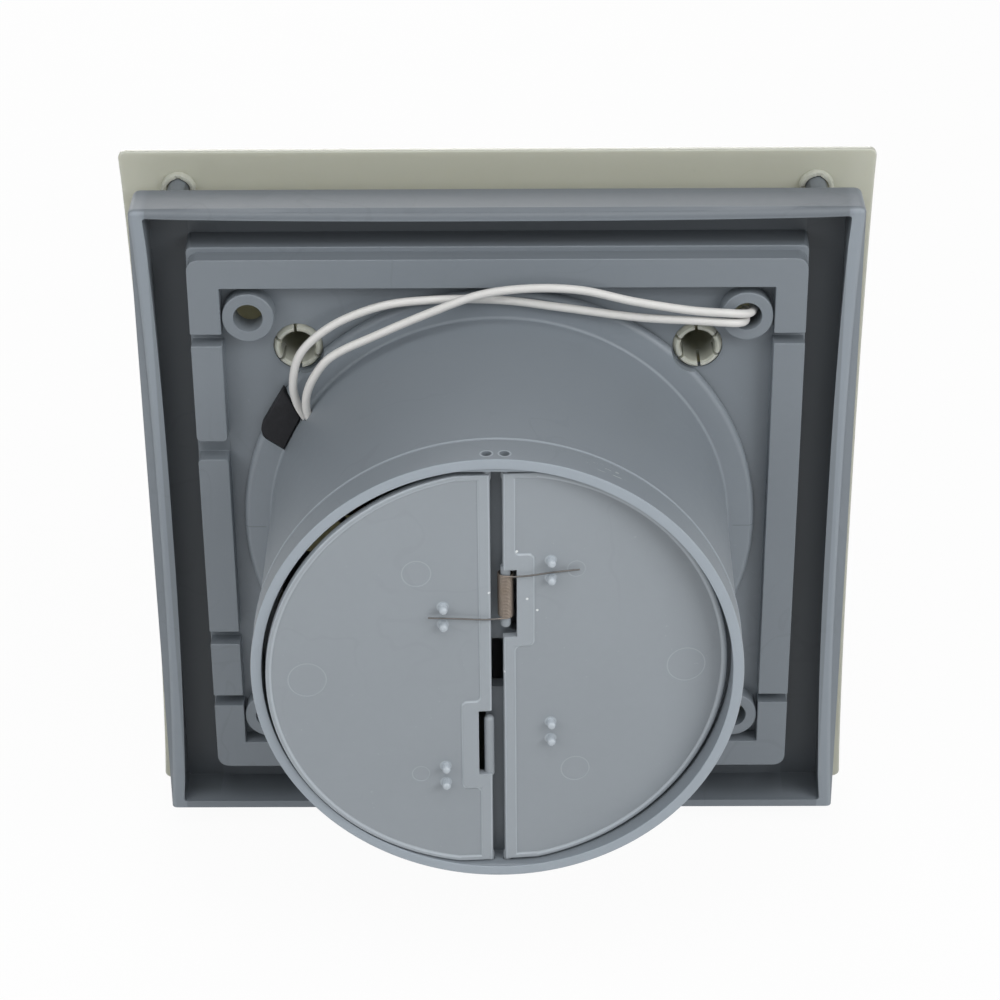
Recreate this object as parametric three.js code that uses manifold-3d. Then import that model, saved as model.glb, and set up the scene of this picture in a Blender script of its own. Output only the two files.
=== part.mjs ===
// Window exhaust fan for a 100 mm duct, seen in its photograph from behind: a square housing with a
// clip-on front panel, a round duct spigot and two sprung shutter flaps that the air pushes open.
//
// Millimetres. The wall plane is y = 0 and the duct's axis is the Y axis: the duct points to +Y,
// the room is at -Y and +Z is up.

import * as THREE from "three";
import { mergeVertices } from "three/addons/utils/BufferGeometryUtils.js";
import Module from "manifold-3d";

const wasm = await Module();
wasm.setup();

// ---------------------------------------------------------------- driving dimensions

const fit = 0.3; // clearance between pieces that sit against each other
const sink = 0.5; // how far one feature of a moulding reaches into the next
const roundSegments = 48; // sides of the large round pieces
const bossSegments = 20; // sides of bosses, pegs and their holes
const smallSegments = 12; // sides of screws, pins and shafts

// Housing: a square tray with a raised plate in its middle.
const housingWidth = 151.8;
const housingHeight = 149.4;
const skirtSideWall = 3.0;
const skirtTopWall = 1.8;
const rimBehindWallPlane = 0.6; // the skirt's rim stops this far short of the wall plane
const trayFloorDepth = 11.6; // rear face of the tray's floor, from the wall plane
const trayFloorThickness = 1.8;
const housingEdgeRadius = 2.6;
const housingCornerRadius = 1.2;
const troughWidth = 7.7; // between the skirt and the raised plate
const plateauDepth = 4.2; // rear face of the raised plate, from the wall plane
const plateThickness = 2.2;
const plateauWall = 2.0;
const inletRadius = 47.5;

// The frame of ribs that stands on the plate and bears on the wall.
const frameSetbackX = 0.7; // from the plate's edge
const frameSetbackZ = 1.9;
const frameRib = 6.6;
const frameLift = 0.5; // the frame's centre above the duct's axis
const frameCornerRadius = 2.6;
const ribGaps = [
  { side: 1, end: 1, fromEnd: 18.5, width: 2.7 },
  { side: 1, end: 1, fromEnd: 44.7, width: 4.4 },
  { side: 1, end: -1, fromEnd: 34.5, width: 3.2 },
  { side: 1, end: -1, fromEnd: 17.9, width: 2.7 },
  { side: -1, end: 1, fromEnd: 18.4, width: 2.4 },
  { side: -1, end: -1, fromEnd: 18.2, width: 2.2 },
];

// Fixing bosses in the frame's corners.
const bossFromRibX = 0.2;
const bossFromRibZ = 1.4;
const bossDiameter = 11.0;
const bossHoleDiameter = 6.1;
const bossBehindWallPlane = 0.4;

// Front panel, its hollow split pegs and the posts that it rests on.
const panelOverhang = 3.85; // past the housing's sides
const panelThickness = 1.7;
const panelCornerRadius = 1.2;
const panelDepth = 19.9; // rear face of the panel, from the wall plane
const pegSpacingX = 84.4;
const pegSpacingZ = 84.0;
const pegDiameter = 9.7;
const pegBore = 7.4;
const pegHoleClearance = 0.4;
const pegPastPlate = 1.0; // how far the fingers stand behind the plate
const pegSlotWidth = 1.0;
const pegSlotDepth = 6.0;
const pegSlotCount = 6;
const postFromSide = 8.6;
const postFromTop = 3.2;
const postDiameter = 4.7;

// Duct spigot: flange, tapered tube and end band.
const spigotLength = 59.5; // its end, from the wall plane
const spigotDiameter = 98.5;
const bandLength = 8.9;
const bandStep = 0.4;
const spigotWall = 2.25;
const tubeFootRadius = 49.4;
const footFillet = 0.7;
const flangeWidth = 6.1; // beyond the tube's foot
const flangeThickness = 2.1;
const flangeEdgeRadius = 1.3;
const pivotFlat = 46.4; // distance of the flat pivot blocks from the duct's axis

// The bar across the duct that the closed flaps lie against.
const barWidth = 5.0;
const barThickness = 3.0;
const barBehindEnd = 5.1; // its rear face, from the spigot's end
const barEyeRadius = 8.5;
const barEyeBore = 5.8;

// The step in the duct that the shut flaps come down on.
const ledgeWidth = 1.4;
const ledgeBehindEnd = 7.6;
const ledgeLength = 2.0;

// Shutter flaps: one moulding, used twice, the second turned half a turn about the duct.
const hingeOffset = 1.75; // hinge axis from the duct's centre line
const hingeBehindEnd = 2.4;
const flapRecess = 1.1; // the raised border's face, from the spigot's end
const flapThickness = 1.8;
const flapBorderHeight = 0.3;
const flapBorderWidth = 2.4;
const flapEdge = 1.2; // straight edge from the centre line
const flapClearance = 0.7; // round edge to the duct's wall
const flapHalfHeight = 45.6;
const rightFlapDrop = 0.2; // the flaps hang on their lower pivots
const leftFlapDrop = 0.5;
const pinDiameter = 1.6;
const pinClearance = 0.3;
const pinEndFromTube = 0.7;
const notchBottom = 8.6;
const notchTop = 24.0;
const notchWidth = 2.7;
const notchBorder = 3.4;
const fingerDiameter = 1.5;
const fingerTip = 10.9;
const nubDiameter = 2.0;
const nubHeight = 1.1;
const nubOffset = 10.66;
const nubPairs = [23.7, -14.2];
const nubSpacing = 4.0;
const leftFlapAjar = 3.5; // degrees open in the photograph
const rightFlapShut = -5.5; // degrees, against its stop

// Torsion spring on the right flap's finger.
const springWire = 0.4;
const springRadius = 1.3; // to the middle of the wire
const springCurls = 11;
const curlSteps = 8;
const springBottom = 13.0;
const springTop = 22.6;
const rightLegReach = 14.6; // from the hinge axis
const leftLegReach = 11.8;
const legRise = 0.8; // each leg's end above its coil end
const legClearance = 0.45; // wire to the flap's raised border
const legSlope = 12; // degrees, where a leg leaves the coil

// Rubber seal where the motor's two wires leave the duct.
const sealPastFlange = 0.9;
const sealAngles = { innerLow: 22.1, innerHigh: 31.8, outerHigh: 36.0, outerLow: 23.6 };
const sealCorner = 3.0; // the rounded corner's reach along each side
const sealProud = 0.4; // behind the flange
const wireDiameter = 1.8;
const wireSteps = 56;

// Motor mount: four arms in front of the inlet, each screwed to a boss at the plate's edge.
const earFromWall = 1.1; // the arms' ends, from the recess's wall
const mountDepth = 14.0; // front face of the arms, from the wall plane
const armThickness = 2.5;
const armWidth = 7.0;
const earRadius = 4.6;
const mountHubRadius = 11.0;
const mountHubBore = 7.0;
const mountBossDiameter = 6.4;

// Shaded-pole motor. Its lamination stack reaches to +X, where the coil sits on it.
const stackFront = 7.1; // front face of the stack, from the wall plane
const stackThickness = 12.0;
const stackHalfHeight = 20.0;
const stackBack = 14.0;
const stackReach = 27.0;
const stackLimb = 8.0;
const rotorRadius = 10.0;
const airGap = 0.4;
const windowDepth = 7.0;
const coilHalfHeight = 11.5;
const coilThickness = 4.0;
const bobbinFlange = 1.2;
const motorScrewSpacing = 32.0;
const shadingWire = 1.6;
const shadingSlotX = 7.4;
const shadingZ = 10.6;
const bracketThickness = 1.5;
const bracketWidth = 12.0;
const bushRadius = 3.6;
const bushLength = 6.0;
const shaftRadius = 1.6;

// Axial impeller.
const hubRadius = 20.0;
const hubFront = 12.0;
const hubLength = 22.0;
const hubWall = 1.6;
const hubBoss = 4.4;
const bladeCount = 7;
const bladeTipClearance = 1.9;
const bladeRootPitch = 50;
const bladeTipPitch = 27;
const bladeRootChord = 21;
const bladeTipChord = 32;
const bladeThickness = 1.5;
const bladeCamber = 1.8;
const clipRadius = 3.6;
const clipThickness = 0.8;

// Fasteners, terminal block and cord clamp.
const screwRadius = 1.4;
const screwHeadRadius = 2.7;
const screwHeadHeight = 1.6;
const blockWidth = 14.0;
const blockLength = 16.0;
const blockHeight = 10.0;
const blockFromWall = 0.9; // from the recess's wall
const blockZ = 20.0;
const poleSpacing = 7.0;
const terminalHole = 1.5;
const terminalScrewRadius = 1.3;
const terminalRows = [4.3, -4.3];
const clampZ = -16.0;
const clampWidth = 6.0;
const clampHeight = 3.0;
const clampOpening = 5.1;
const clampScrewSpacing = 10.0;

// ---------------------------------------------------------------- derived places

const housingFront = -(trayFloorDepth + trayFloorThickness);
const plateauWidth = housingWidth - 2 * (skirtSideWall + troughWidth);
const plateauHeight = housingHeight - 2 * (skirtTopWall + troughWidth);
const frameWidth = plateauWidth - 2 * frameSetbackX;
const frameHeight = plateauHeight - 2 * frameSetbackZ;
const bossSpacingX = frameWidth - 2 * (frameRib + bossFromRibX) - bossDiameter;
const bossSpacingZ = frameHeight - 2 * (frameRib + bossFromRibZ) - bossDiameter;
const panelSize = housingWidth + 2 * panelOverhang;
const postSpacingX = housingWidth - 2 * postFromSide;
const postSpacingZ = housingHeight - 2 * postFromTop;
const plateRear = -plateauDepth;
const plateFront = plateRear - plateThickness;
const panelRear = -panelDepth;
const ductRadius = spigotDiameter / 2 - spigotWall;
const footBoreRadius = tubeFootRadius - spigotWall;
const flangeRadius = tubeFootRadius + flangeWidth;
const sealInnerRadius = tubeFootRadius + fit;
const sealOuterRadius = flangeRadius + sealPastFlange;
const flangeRear = plateRear + fit + flangeThickness;
const flangeFront = plateRear + fit;
const bandStart = spigotLength - bandLength;
const hingeY = spigotLength - hingeBehindEnd;
const flapFace = spigotLength - flapRecess;
const flapPlateFace = flapFace - flapBorderHeight;
const flapRadius = ductRadius - flapClearance;
const barRear = spigotLength - barBehindEnd;
const pegHoleRadius = pegDiameter / 2 + pegHoleClearance;
const recessWidth = plateauWidth - 2 * plateauWall;
const recessHeight = plateauHeight - 2 * plateauWall;
const mountReachX = recessWidth / 2 - earRadius - earFromWall;
const mountReachZ = recessHeight / 2 - earRadius - earFromWall;
const blockX = (blockWidth - recessWidth) / 2 + blockFromWall;
const armRear = -mountDepth + armThickness;
const stackFrontY = -stackFront;
const stackRearY = stackFrontY + stackThickness;
const coilCentreX = stackReach - stackLimb / 2;
const bladeTipRadius = ductRadius - bladeTipClearance;
const ledgeRear = spigotLength - ledgeBehindEnd;

// ---------------------------------------------------------------- making and joining solids

/** A closed geometry as a solid, with shared corners merged. */
function solid(geometry) {
  const plain = geometry.clone();
  plain.deleteAttribute("normal");
  plain.deleteAttribute("uv");
  const merged = mergeVertices(plain, 1e-4);
  return new wasm.Manifold(
    new wasm.Mesh({
      numProp: 3,
      vertProperties: new Float32Array(merged.attributes.position.array),
      triVerts: new Uint32Array(merged.index.array),
    }),
  );
}

/** The faces of a solid, shaded flat. */
function facesOf(body) {
  const mesh = body.getMesh();
  const geometry = new THREE.BufferGeometry();
  geometry.setAttribute("position", new THREE.BufferAttribute(mesh.vertProperties, 3));
  geometry.setIndex(new THREE.BufferAttribute(mesh.triVerts, 1));
  const flat = geometry.toNonIndexed();
  flat.computeVertexNormals();
  return flat;
}

const join = (...bodies) => bodies.reduce((sum, body) => sum.add(body));
const cut = (body, ...tools) => tools.reduce((rest, tool) => rest.subtract(tool), body);

/** A box between two corners. */
function box(low, high) {
  const size = high.map((value, i) => value - low[i]);
  const middle = high.map((value, i) => (value + low[i]) / 2);
  return solid(new THREE.BoxGeometry(...size).translate(...middle));
}

/** A round bar along Y. */
function rod(radius, x, z, fromY, toY, segments = smallSegments) {
  const bar = new THREE.CylinderGeometry(radius, radius, toY - fromY, segments);
  return solid(bar.translate(x, (fromY + toY) / 2, z));
}

/** A round bar along Z. */
function uprightRod(radius, x, y, fromZ, toZ, segments = smallSegments) {
  const bar = new THREE.CylinderGeometry(radius, radius, toZ - fromZ, segments);
  return solid(bar.rotateX(Math.PI / 2).translate(x, y, (fromZ + toZ) / 2));
}

/** An outline in X and Z, thickened along Y between two depths. */
function slab(shape, fromY, toY, curveSegments = 4) {
  const plate = new THREE.ExtrudeGeometry(shape, { depth: toY - fromY, bevelEnabled: false, curveSegments });
  return solid(plate.rotateX(Math.PI / 2).translate(0, toY, 0));
}

/** A body of revolution about the Y axis, from a closed profile of [radius, y] points. */
function turned(profile, segments = roundSegments) {
  const points = profile.map(([radius, y]) => new THREE.Vector2(radius, y));
  const body = solid(new THREE.LatheGeometry(points, segments));
  return body.volume() > 0 ? body : solid(new THREE.LatheGeometry(points.reverse(), segments));
}

/** A rectangle with round corners. */
function roundedRectangle(width, height, radius, centreZ = 0) {
  const x = width / 2;
  const z = height / 2;
  const shape = new THREE.Shape();
  shape.absarc(x - radius, centreZ + z - radius, radius, 0, Math.PI / 2);
  shape.absarc(-x + radius, centreZ + z - radius, radius, Math.PI / 2, Math.PI);
  shape.absarc(-x + radius, centreZ - z + radius, radius, Math.PI, 1.5 * Math.PI);
  shape.absarc(x - radius, centreZ - z + radius, radius, 1.5 * Math.PI, 2 * Math.PI);
  shape.closePath();
  return shape;
}

/** A closed skin through rings of equally many points, capped at both ends. */
function loft(rings) {
  const count = rings[0].length;
  const corners = rings.flat();
  const ends = [0, rings.length - 1].map((row) => {
    const middle = new THREE.Vector3();
    rings[row].forEach((point) => middle.addScaledVector(point, 1 / count));
    return corners.push(middle) - 1;
  });
  const faces = [];
  for (let i = 0; i < count; i++) {
    const next = (i + 1) % count;
    const last = (rings.length - 1) * count;
    faces.push(ends[0], next, i, ends[1], last + i, last + next);
    for (let row = 0; row < rings.length - 1; row++) {
      const here = row * count;
      const there = here + count;
      faces.push(here + i, here + next, there + next, here + i, there + next, there + i);
    }
  }
  const geometry = new THREE.BufferGeometry().setFromPoints(corners);
  geometry.setIndex(faces);
  return geometry;
}

/** A part of the assembly: a named mesh with its material. */
function piece(name, body, material) {
  const mesh = new THREE.Mesh(facesOf(body), material);
  mesh.name = name;
  return mesh;
}

const corners = [
  [1, 1],
  [-1, 1],
  [-1, -1],
  [1, -1],
];
const mountPlaces = [
  [mountReachX, 0],
  [0, mountReachZ],
  [-mountReachX, 0],
  [0, -mountReachZ],
];

// ---------------------------------------------------------------- materials

const plastic = (color, roughness = 0.5) => new THREE.MeshStandardMaterial({ color, roughness, metalness: 0 });
const metal = (color, roughness = 0.35) => new THREE.MeshStandardMaterial({ color, roughness, metalness: 1 });
const housingGrey = plastic(0x7b848c, 0.55);
const flapGrey = plastic(0x8f979e, 0.5);
const panelIvory = plastic(0xcfd0c4, 0.45);
const impellerGrey = plastic(0x9aa1a6, 0.45);
const sealBlack = plastic(0x232428, 0.8);
const wireWhite = plastic(0xe9e8e2, 0.45);
const blockNatural = plastic(0xe6e2d4, 0.4);
const bobbinBlack = plastic(0x2b2b2d, 0.6);
const springSteel = metal(0x8c8278, 0.35);
const bracketSteel = metal(0xa8aaac, 0.4);
const laminations = metal(0x6f6f70, 0.6);
const bronze = metal(0x9c7640, 0.45);
const copper = metal(0xb4693b, 0.4);
const screwSteel = metal(0xb9b7ae, 0.35);

// ---------------------------------------------------------------- housing

/** The tray: outer skirt with a soft front edge, and a flat floor. */
function tray() {
  const outline = roundedRectangle(
    housingWidth - 2 * housingEdgeRadius,
    housingHeight - 2 * housingEdgeRadius,
    housingCornerRadius,
  );
  const depth = -housingFront;
  const outer = new THREE.ExtrudeGeometry(outline, {
    depth,
    bevelThickness: housingEdgeRadius,
    bevelSize: housingEdgeRadius,
    bevelSegments: 2,
    curveSegments: 2,
  });
  outer.rotateX(Math.PI / 2).translate(0, housingEdgeRadius, 0);
  const rearTrim = box(
    [-housingWidth, -rimBehindWallPlane, -housingHeight],
    [housingWidth, housingWidth, housingHeight],
  );
  const inside = roundedRectangle(
    housingWidth - 2 * skirtSideWall,
    housingHeight - 2 * skirtTopWall,
    housingCornerRadius / 2,
  );
  return cut(solid(outer), rearTrim, slab(inside, -trayFloorDepth, sink, 2));
}

/** The ribs round the plate's edge, with the gaps that are left for cable entry. */
function wallFrame() {
  const outline = roundedRectangle(frameWidth, frameHeight, frameCornerRadius, frameLift);
  const innerWidth = frameWidth - 2 * frameRib;
  const innerHeight = frameHeight - 2 * frameRib;
  outline.holes.push(
    new THREE.Path([
      new THREE.Vector2(-innerWidth / 2, frameLift - innerHeight / 2),
      new THREE.Vector2(-innerWidth / 2, frameLift + innerHeight / 2),
      new THREE.Vector2(innerWidth / 2, frameLift + innerHeight / 2),
      new THREE.Vector2(innerWidth / 2, frameLift - innerHeight / 2),
    ]),
  );
  const gaps = ribGaps.map(({ side, end, fromEnd, width }) => {
    const x = side * (frameWidth / 2 - frameRib / 2);
    const z = frameLift + end * (frameHeight / 2 - fromEnd);
    return box([x - frameRib, plateRear, z - width / 2], [x + frameRib, sink, z + width / 2]);
  });
  return cut(slab(outline, plateRear - sink, 0), ...gaps);
}

function baseHousing() {
  const plateau = slab(roundedRectangle(plateauWidth, plateauHeight, housingCornerRadius), housingFront, plateRear, 2);
  const recess = slab(
    roundedRectangle(recessWidth, recessHeight, housingCornerRadius / 2),
    housingFront - sink,
    plateFront,
    2,
  );
  const shell = cut(join(tray(), plateau), recess);
  const bosses = corners.map(([x, z]) =>
    rod(
      bossDiameter / 2,
      (x * bossSpacingX) / 2,
      frameLift + (z * bossSpacingZ) / 2,
      plateRear - sink,
      -bossBehindWallPlane,
      bossSegments,
    ),
  );
  const posts = corners.map(([x, z]) =>
    rod(postDiameter / 2, (x * postSpacingX) / 2, (z * postSpacingZ) / 2, panelRear + fit, housingFront + sink),
  );
  const mountBosses = mountPlaces.map(([x, z]) =>
    rod(mountBossDiameter / 2, x, z, armRear + fit, plateFront + sink),
  );
  const clampPosts = [-1, 1].map((side) =>
    rod(
      screwHeadRadius,
      blockX + (side * clampScrewSpacing) / 2,
      clampZ,
      plateFront - clampOpening,
      plateFront + sink,
    ),
  );
  const fixingHoles = corners.map(([x, z]) =>
    rod(
      bossHoleDiameter / 2,
      (x * bossSpacingX) / 2,
      frameLift + (z * bossSpacingZ) / 2,
      plateFront - sink,
      sink,
      bossSegments,
    ),
  );
  const pegHoles = corners.map(([x, z]) =>
    rod(pegHoleRadius, (x * pegSpacingX) / 2, (z * pegSpacingZ) / 2, plateFront - sink, plateRear + sink, bossSegments),
  );
  const screwHoles = [
    ...mountPlaces,
    ...[-1, 1].map((side) => [blockX + (side * clampScrewSpacing) / 2, clampZ]),
    [blockX, blockZ],
  ].map(([x, z]) => rod(screwRadius + fit, x, z, -panelDepth, plateRear - 2 * fit));
  const inlet = rod(inletRadius, 0, 0, plateFront - sink, plateRear + sink, roundSegments);
  return cut(
    join(shell, wallFrame(), ...bosses, ...posts, ...mountBosses, ...clampPosts),
    inlet,
    ...fixingHoles,
    ...pegHoles,
    ...screwHoles,
  );
}

// ---------------------------------------------------------------- front panel

/** One hollow peg, slotted into fingers at its rear end. */
function splitPeg(x, z) {
  const tip = plateRear + pegPastPlate;
  const tube = rod(pegDiameter / 2, x, z, panelRear - sink, tip, bossSegments);
  const slots = [];
  for (let i = 0; i < pegSlotCount; i++) {
    const slot = new THREE.BoxGeometry(pegDiameter, pegSlotDepth, pegSlotWidth);
    slot.translate(pegDiameter / 2, tip - pegSlotDepth / 2 + fit, 0);
    slot.rotateY((2 * Math.PI * i) / pegSlotCount + 0.3);
    slots.push(solid(slot.translate(x, 0, z)));
  }
  return cut(tube, rod(pegBore / 2, x, z, panelRear, tip + sink, bossSegments), ...slots);
}

function frontPanel() {
  const sheet = slab(
    roundedRectangle(panelSize, panelSize, panelCornerRadius),
    panelRear - panelThickness,
    panelRear,
  );
  const pegs = corners.map(([x, z]) => splitPeg((x * pegSpacingX) / 2, (z * pegSpacingZ) / 2));
  return join(sheet, ...pegs);
}

// ---------------------------------------------------------------- duct spigot

/** The seal's outline, grown on all sides by a margin. */
function sealShape(margin) {
  const at = (radius, degrees) =>
    new THREE.Vector2(radius, 0).rotateAround(new THREE.Vector2(), THREE.MathUtils.degToRad(degrees));
  const [innerHigh, innerLow, outerLow, outerHigh] = [
    at(sealInnerRadius, sealAngles.innerHigh),
    at(sealInnerRadius, sealAngles.innerLow),
    at(sealOuterRadius, sealAngles.outerLow),
    at(sealOuterRadius, sealAngles.outerHigh),
  ];
  const reach = (side) => side.clone().sub(outerLow).setLength(sealCorner).add(outerLow);
  const round = new THREE.QuadraticBezierCurve(reach(innerLow), outerLow, reach(outerHigh));
  const points = [innerHigh, innerLow, ...round.getPoints(4), outerHigh];
  const outwards = points.map((point, i) => {
    const along = points[(i + 1) % points.length].clone().sub(point).normalize();
    return new THREE.Vector2(along.y, -along.x);
  });
  return new THREE.Shape(
    points.map((point, i) => {
      const before = outwards[(i + points.length - 1) % points.length];
      const after = outwards[i];
      const push = before.clone().add(after);
      return push.multiplyScalar(margin / (1 + before.dot(after))).add(point);
    }),
  );
}

function ductSpigot() {
  const end = spigotDiameter / 2;
  const tube = turned([
    [footBoreRadius, flangeFront],
    [flangeRadius, flangeFront],
    [flangeRadius, flangeRear - flangeEdgeRadius],
    [flangeRadius - flangeEdgeRadius * 0.3, flangeRear - flangeEdgeRadius * 0.3],
    [flangeRadius - flangeEdgeRadius, flangeRear],
    [tubeFootRadius + footFillet, flangeRear],
    [tubeFootRadius + footFillet * 0.3, flangeRear + footFillet * 0.3],
    [tubeFootRadius, flangeRear + footFillet],
    [end - bandStep, bandStart - bandStep],
    [end, bandStart],
    [end, spigotLength],
    [ductRadius, spigotLength],
    [ductRadius, ledgeRear],
    [ductRadius - ledgeWidth, ledgeRear],
    [ductRadius - ledgeWidth, ledgeRear - ledgeLength],
    [ductRadius + 0.1, ledgeRear - ledgeLength - 2 * ledgeWidth],
    [footBoreRadius, flangeFront + footFillet],
    [footBoreRadius, flangeFront],
  ]);
  const core = rod(end - spigotWall / 2, 0, 0, barRear - barThickness, spigotLength, roundSegments);
  const flats = [-1, 1].map((side) => {
    const low = side > 0 ? pivotFlat : -spigotDiameter;
    const high = side > 0 ? spigotDiameter : -pivotFlat;
    return core.intersect(
      box([-end, barRear - barThickness, low], [end, spigotLength, high]),
    );
  });
  const bar = core.intersect(
    box([-barWidth / 2, barRear - barThickness, -end], [barWidth / 2, barRear, end]),
  );
  const eye = rod(barEyeRadius, 0, 0, barRear - barThickness, barRear, bossSegments);
  const eyeBore = rod(barEyeBore, 0, 0, barRear - barThickness - sink, barRear + sink, bossSegments);
  const pivots = corners.map(([x, z]) => {
    const near = z > 0 ? pivotFlat - sink : -end - sink;
    const far = z > 0 ? end + sink : -pivotFlat + sink;
    return uprightRod(pinDiameter / 2 + pinClearance, x * hingeOffset, hingeY, near, far, 12);
  });
  const pegNotches = corners.map(([x, z]) =>
    rod(pegHoleRadius + fit, (x * pegSpacingX) / 2, (z * pegSpacingZ) / 2, flangeFront - sink, flangeRear + sink, bossSegments),
  );
  const wireHoles = [outerWireRoute, innerWireRoute].map((route) => leadWire(route, fit));
  const sealNotch = slab(sealShape(fit), flangeFront - sink, flangeRear + sealProud + fit);
  return cut(join(tube, ...flats, bar, eye), eyeBore, ...pivots, ...pegNotches, ...wireHoles, sealNotch);
}

const wireSeal = () => slab(sealShape(0), flangeFront, flangeRear + sealProud);

// ---------------------------------------------------------------- shutter flaps

/** The half disc between the straight edge and the round edge, drawn in by a margin. */
function halfDisc(margin) {
  const radius = flapRadius - margin;
  const height = flapHalfHeight - margin;
  const start = Math.asin(height / radius);
  const shape = new THREE.Shape();
  shape.moveTo(-flapEdge - margin, height);
  shape.lineTo(-radius * Math.cos(start), height);
  shape.absarc(0, 0, radius, Math.PI - start, Math.PI + start);
  shape.lineTo(-flapEdge - margin, -height);
  shape.closePath();
  return shape;
}

/** The flap on the photograph's right, shut flat, with its hinge pins and its spring finger. */
function flap() {
  const face = flapFace;
  const back = face - flapThickness;
  const notch = box(
    [-flapEdge - notchWidth, back - sink, notchBottom],
    [0, face + sink, notchTop],
  );
  const notchRib = box(
    [-flapEdge - notchWidth - notchBorder, back, notchBottom - flapBorderWidth],
    [-flapEdge, face, notchTop + notchBorder],
  );
  const field = slab(halfDisc(flapBorderWidth), flapPlateFace, face + sink, 16);
  const plate = cut(slab(halfDisc(0), back, face, 16), field);
  const pins = [-1, 1].map((side) => {
    const inner = side * (flapHalfHeight - 3 * sink);
    const outer = side * (spigotDiameter / 2 - pinEndFromTube);
    return uprightRod(pinDiameter / 2, -hingeOffset, hingeY, Math.min(inner, outer), Math.max(inner, outer), 12);
  });
  const finger = uprightRod(fingerDiameter / 2, -hingeOffset, hingeY, fingerTip, notchTop + sink, 12);
  const nubs = nubPairs.flatMap((middle) =>
    [-1, 1].map((side) =>
      rod(nubDiameter / 2, -nubOffset, middle + (side * nubSpacing) / 2, back + sink, flapPlateFace + nubHeight, 12),
    ),
  );
  return join(cut(join(plate, notchRib), notch), ...pins, finger, ...nubs);
}

/** A group that turns its meshes about an upright hinge line and lets them down a little. */
function hinged(x, degrees, drop, ...meshes) {
  const pivot = new THREE.Group();
  const content = new THREE.Group();
  pivot.position.set(x, hingeY, 0);
  pivot.rotation.z = THREE.MathUtils.degToRad(degrees);
  content.position.set(-x, -hingeY, -drop);
  content.add(...meshes);
  pivot.add(content);
  return pivot;
}

// ---------------------------------------------------------------- torsion spring

/** The height of a shut or ajar flap's border face at a distance from its hinge. */
function faceOfFlap(reach, degrees) {
  const turn = THREE.MathUtils.degToRad(degrees);
  return hingeY + (flapFace - hingeY) * Math.cos(turn) + reach * Math.sin(turn);
}

/** The wire's middle line: left leg, curls up the finger, right leg. */
function springPath() {
  const clear = springWire / 2 + legClearance;
  const slope = THREE.MathUtils.degToRad(legSlope);
  const overEdge = 2 * hingeOffset - flapEdge;
  const points = [1, 0.5].map(
    (share) =>
      new THREE.Vector3(
        hingeOffset + share * leftLegReach,
        faceOfFlap(share * leftLegReach, leftFlapAjar) + clear,
        springBottom + share * legRise,
      ),
  );
  points.push(new THREE.Vector3(overEdge, faceOfFlap(overEdge - hingeOffset, leftFlapAjar) + clear, springBottom));
  const steps = springCurls * curlSteps;
  const start = Math.PI / 2 + slope;
  const sweep = 2 * (Math.PI * springCurls - slope);
  for (let i = 0; i <= steps; i++) {
    const turn = start + (sweep * i) / steps;
    const height = THREE.MathUtils.lerp(springBottom, springTop, i / steps);
    points.push(
      new THREE.Vector3(
        -hingeOffset + springRadius * Math.cos(turn),
        hingeY + springRadius * Math.sin(turn),
        height,
      ),
    );
  }
  const overNotch = notchWidth + flapEdge - hingeOffset;
  const overRib = overNotch + notchBorder;
  [overNotch, overRib].forEach((reach) =>
    points.push(new THREE.Vector3(-hingeOffset - reach, faceOfFlap(reach, rightFlapShut) + clear, springTop + legRise / 4)),
  );
  [nubOffset - hingeOffset, rightLegReach].forEach((reach) =>
    points.push(
      new THREE.Vector3(
        -hingeOffset - reach,
        faceOfFlap(reach, rightFlapShut) + clear - flapBorderHeight,
        springTop + (legRise * reach) / rightLegReach,
      ),
    ),
  );
  return points;
}

/** A tube of five sides along a path, its rings turned as little as the path allows. */
function wireTube(points, radius, sides) {
  const tangents = points.map((point, i) => {
    const before = points[Math.max(i - 1, 0)];
    const after = points[Math.min(i + 1, points.length - 1)];
    return new THREE.Vector3().subVectors(after, before).normalize();
  });
  let across = new THREE.Vector3(0, 0, 1);
  const rings = points.map((point, i) => {
    across = across.clone().addScaledVector(tangents[i], -across.dot(tangents[i])).normalize();
    const other = new THREE.Vector3().crossVectors(tangents[i], across);
    return Array.from({ length: sides }, (_, k) => {
      const turn = (2 * Math.PI * k) / sides;
      return point
        .clone()
        .addScaledVector(across, radius * Math.cos(turn))
        .addScaledVector(other, radius * Math.sin(turn));
    });
  });
  return loft(rings);
}

/** The least gap between two stretches of the wire that aren't next to each other. */
function leastGap(points, diameter, apart) {
  let least = Infinity;
  for (let i = 0; i < points.length; i++) {
    for (let j = i + apart; j < points.length; j++) {
      least = Math.min(least, points[i].distanceTo(points[j]) - diameter);
    }
  }
  return least;
}

// ---------------------------------------------------------------- motor and its mount

function motorMount() {
  const front = -mountDepth;
  const arms = [
    box([-mountReachX, front, -armWidth / 2], [mountReachX, armRear, armWidth / 2]),
    box([-armWidth / 2, front, -mountReachZ], [armWidth / 2, armRear, mountReachZ]),
  ];
  const ears = mountPlaces.map(([x, z]) => rod(earRadius, x, z, front, armRear));
  const hub = rod(mountHubRadius, 0, 0, front, armRear, 24);
  const pads = [-1, 1].map((side) =>
    rod(
      armWidth / 2,
      0,
      (side * motorScrewSpacing) / 2,
      front,
      stackFrontY - bracketThickness - 2 * fit,
    ),
  );
  const holes = [
    ...mountPlaces,
    ...[-1, 1].map((side) => [0, (side * motorScrewSpacing) / 2]),
  ].map(([x, z]) => rod(screwRadius + fit, x, z, front - sink, 0));
  return cut(
    join(hub, ...arms, ...ears, ...pads),
    rod(mountHubBore, 0, 0, front - sink, armRear + sink, bossSegments),
    ...holes,
  );
}

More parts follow.
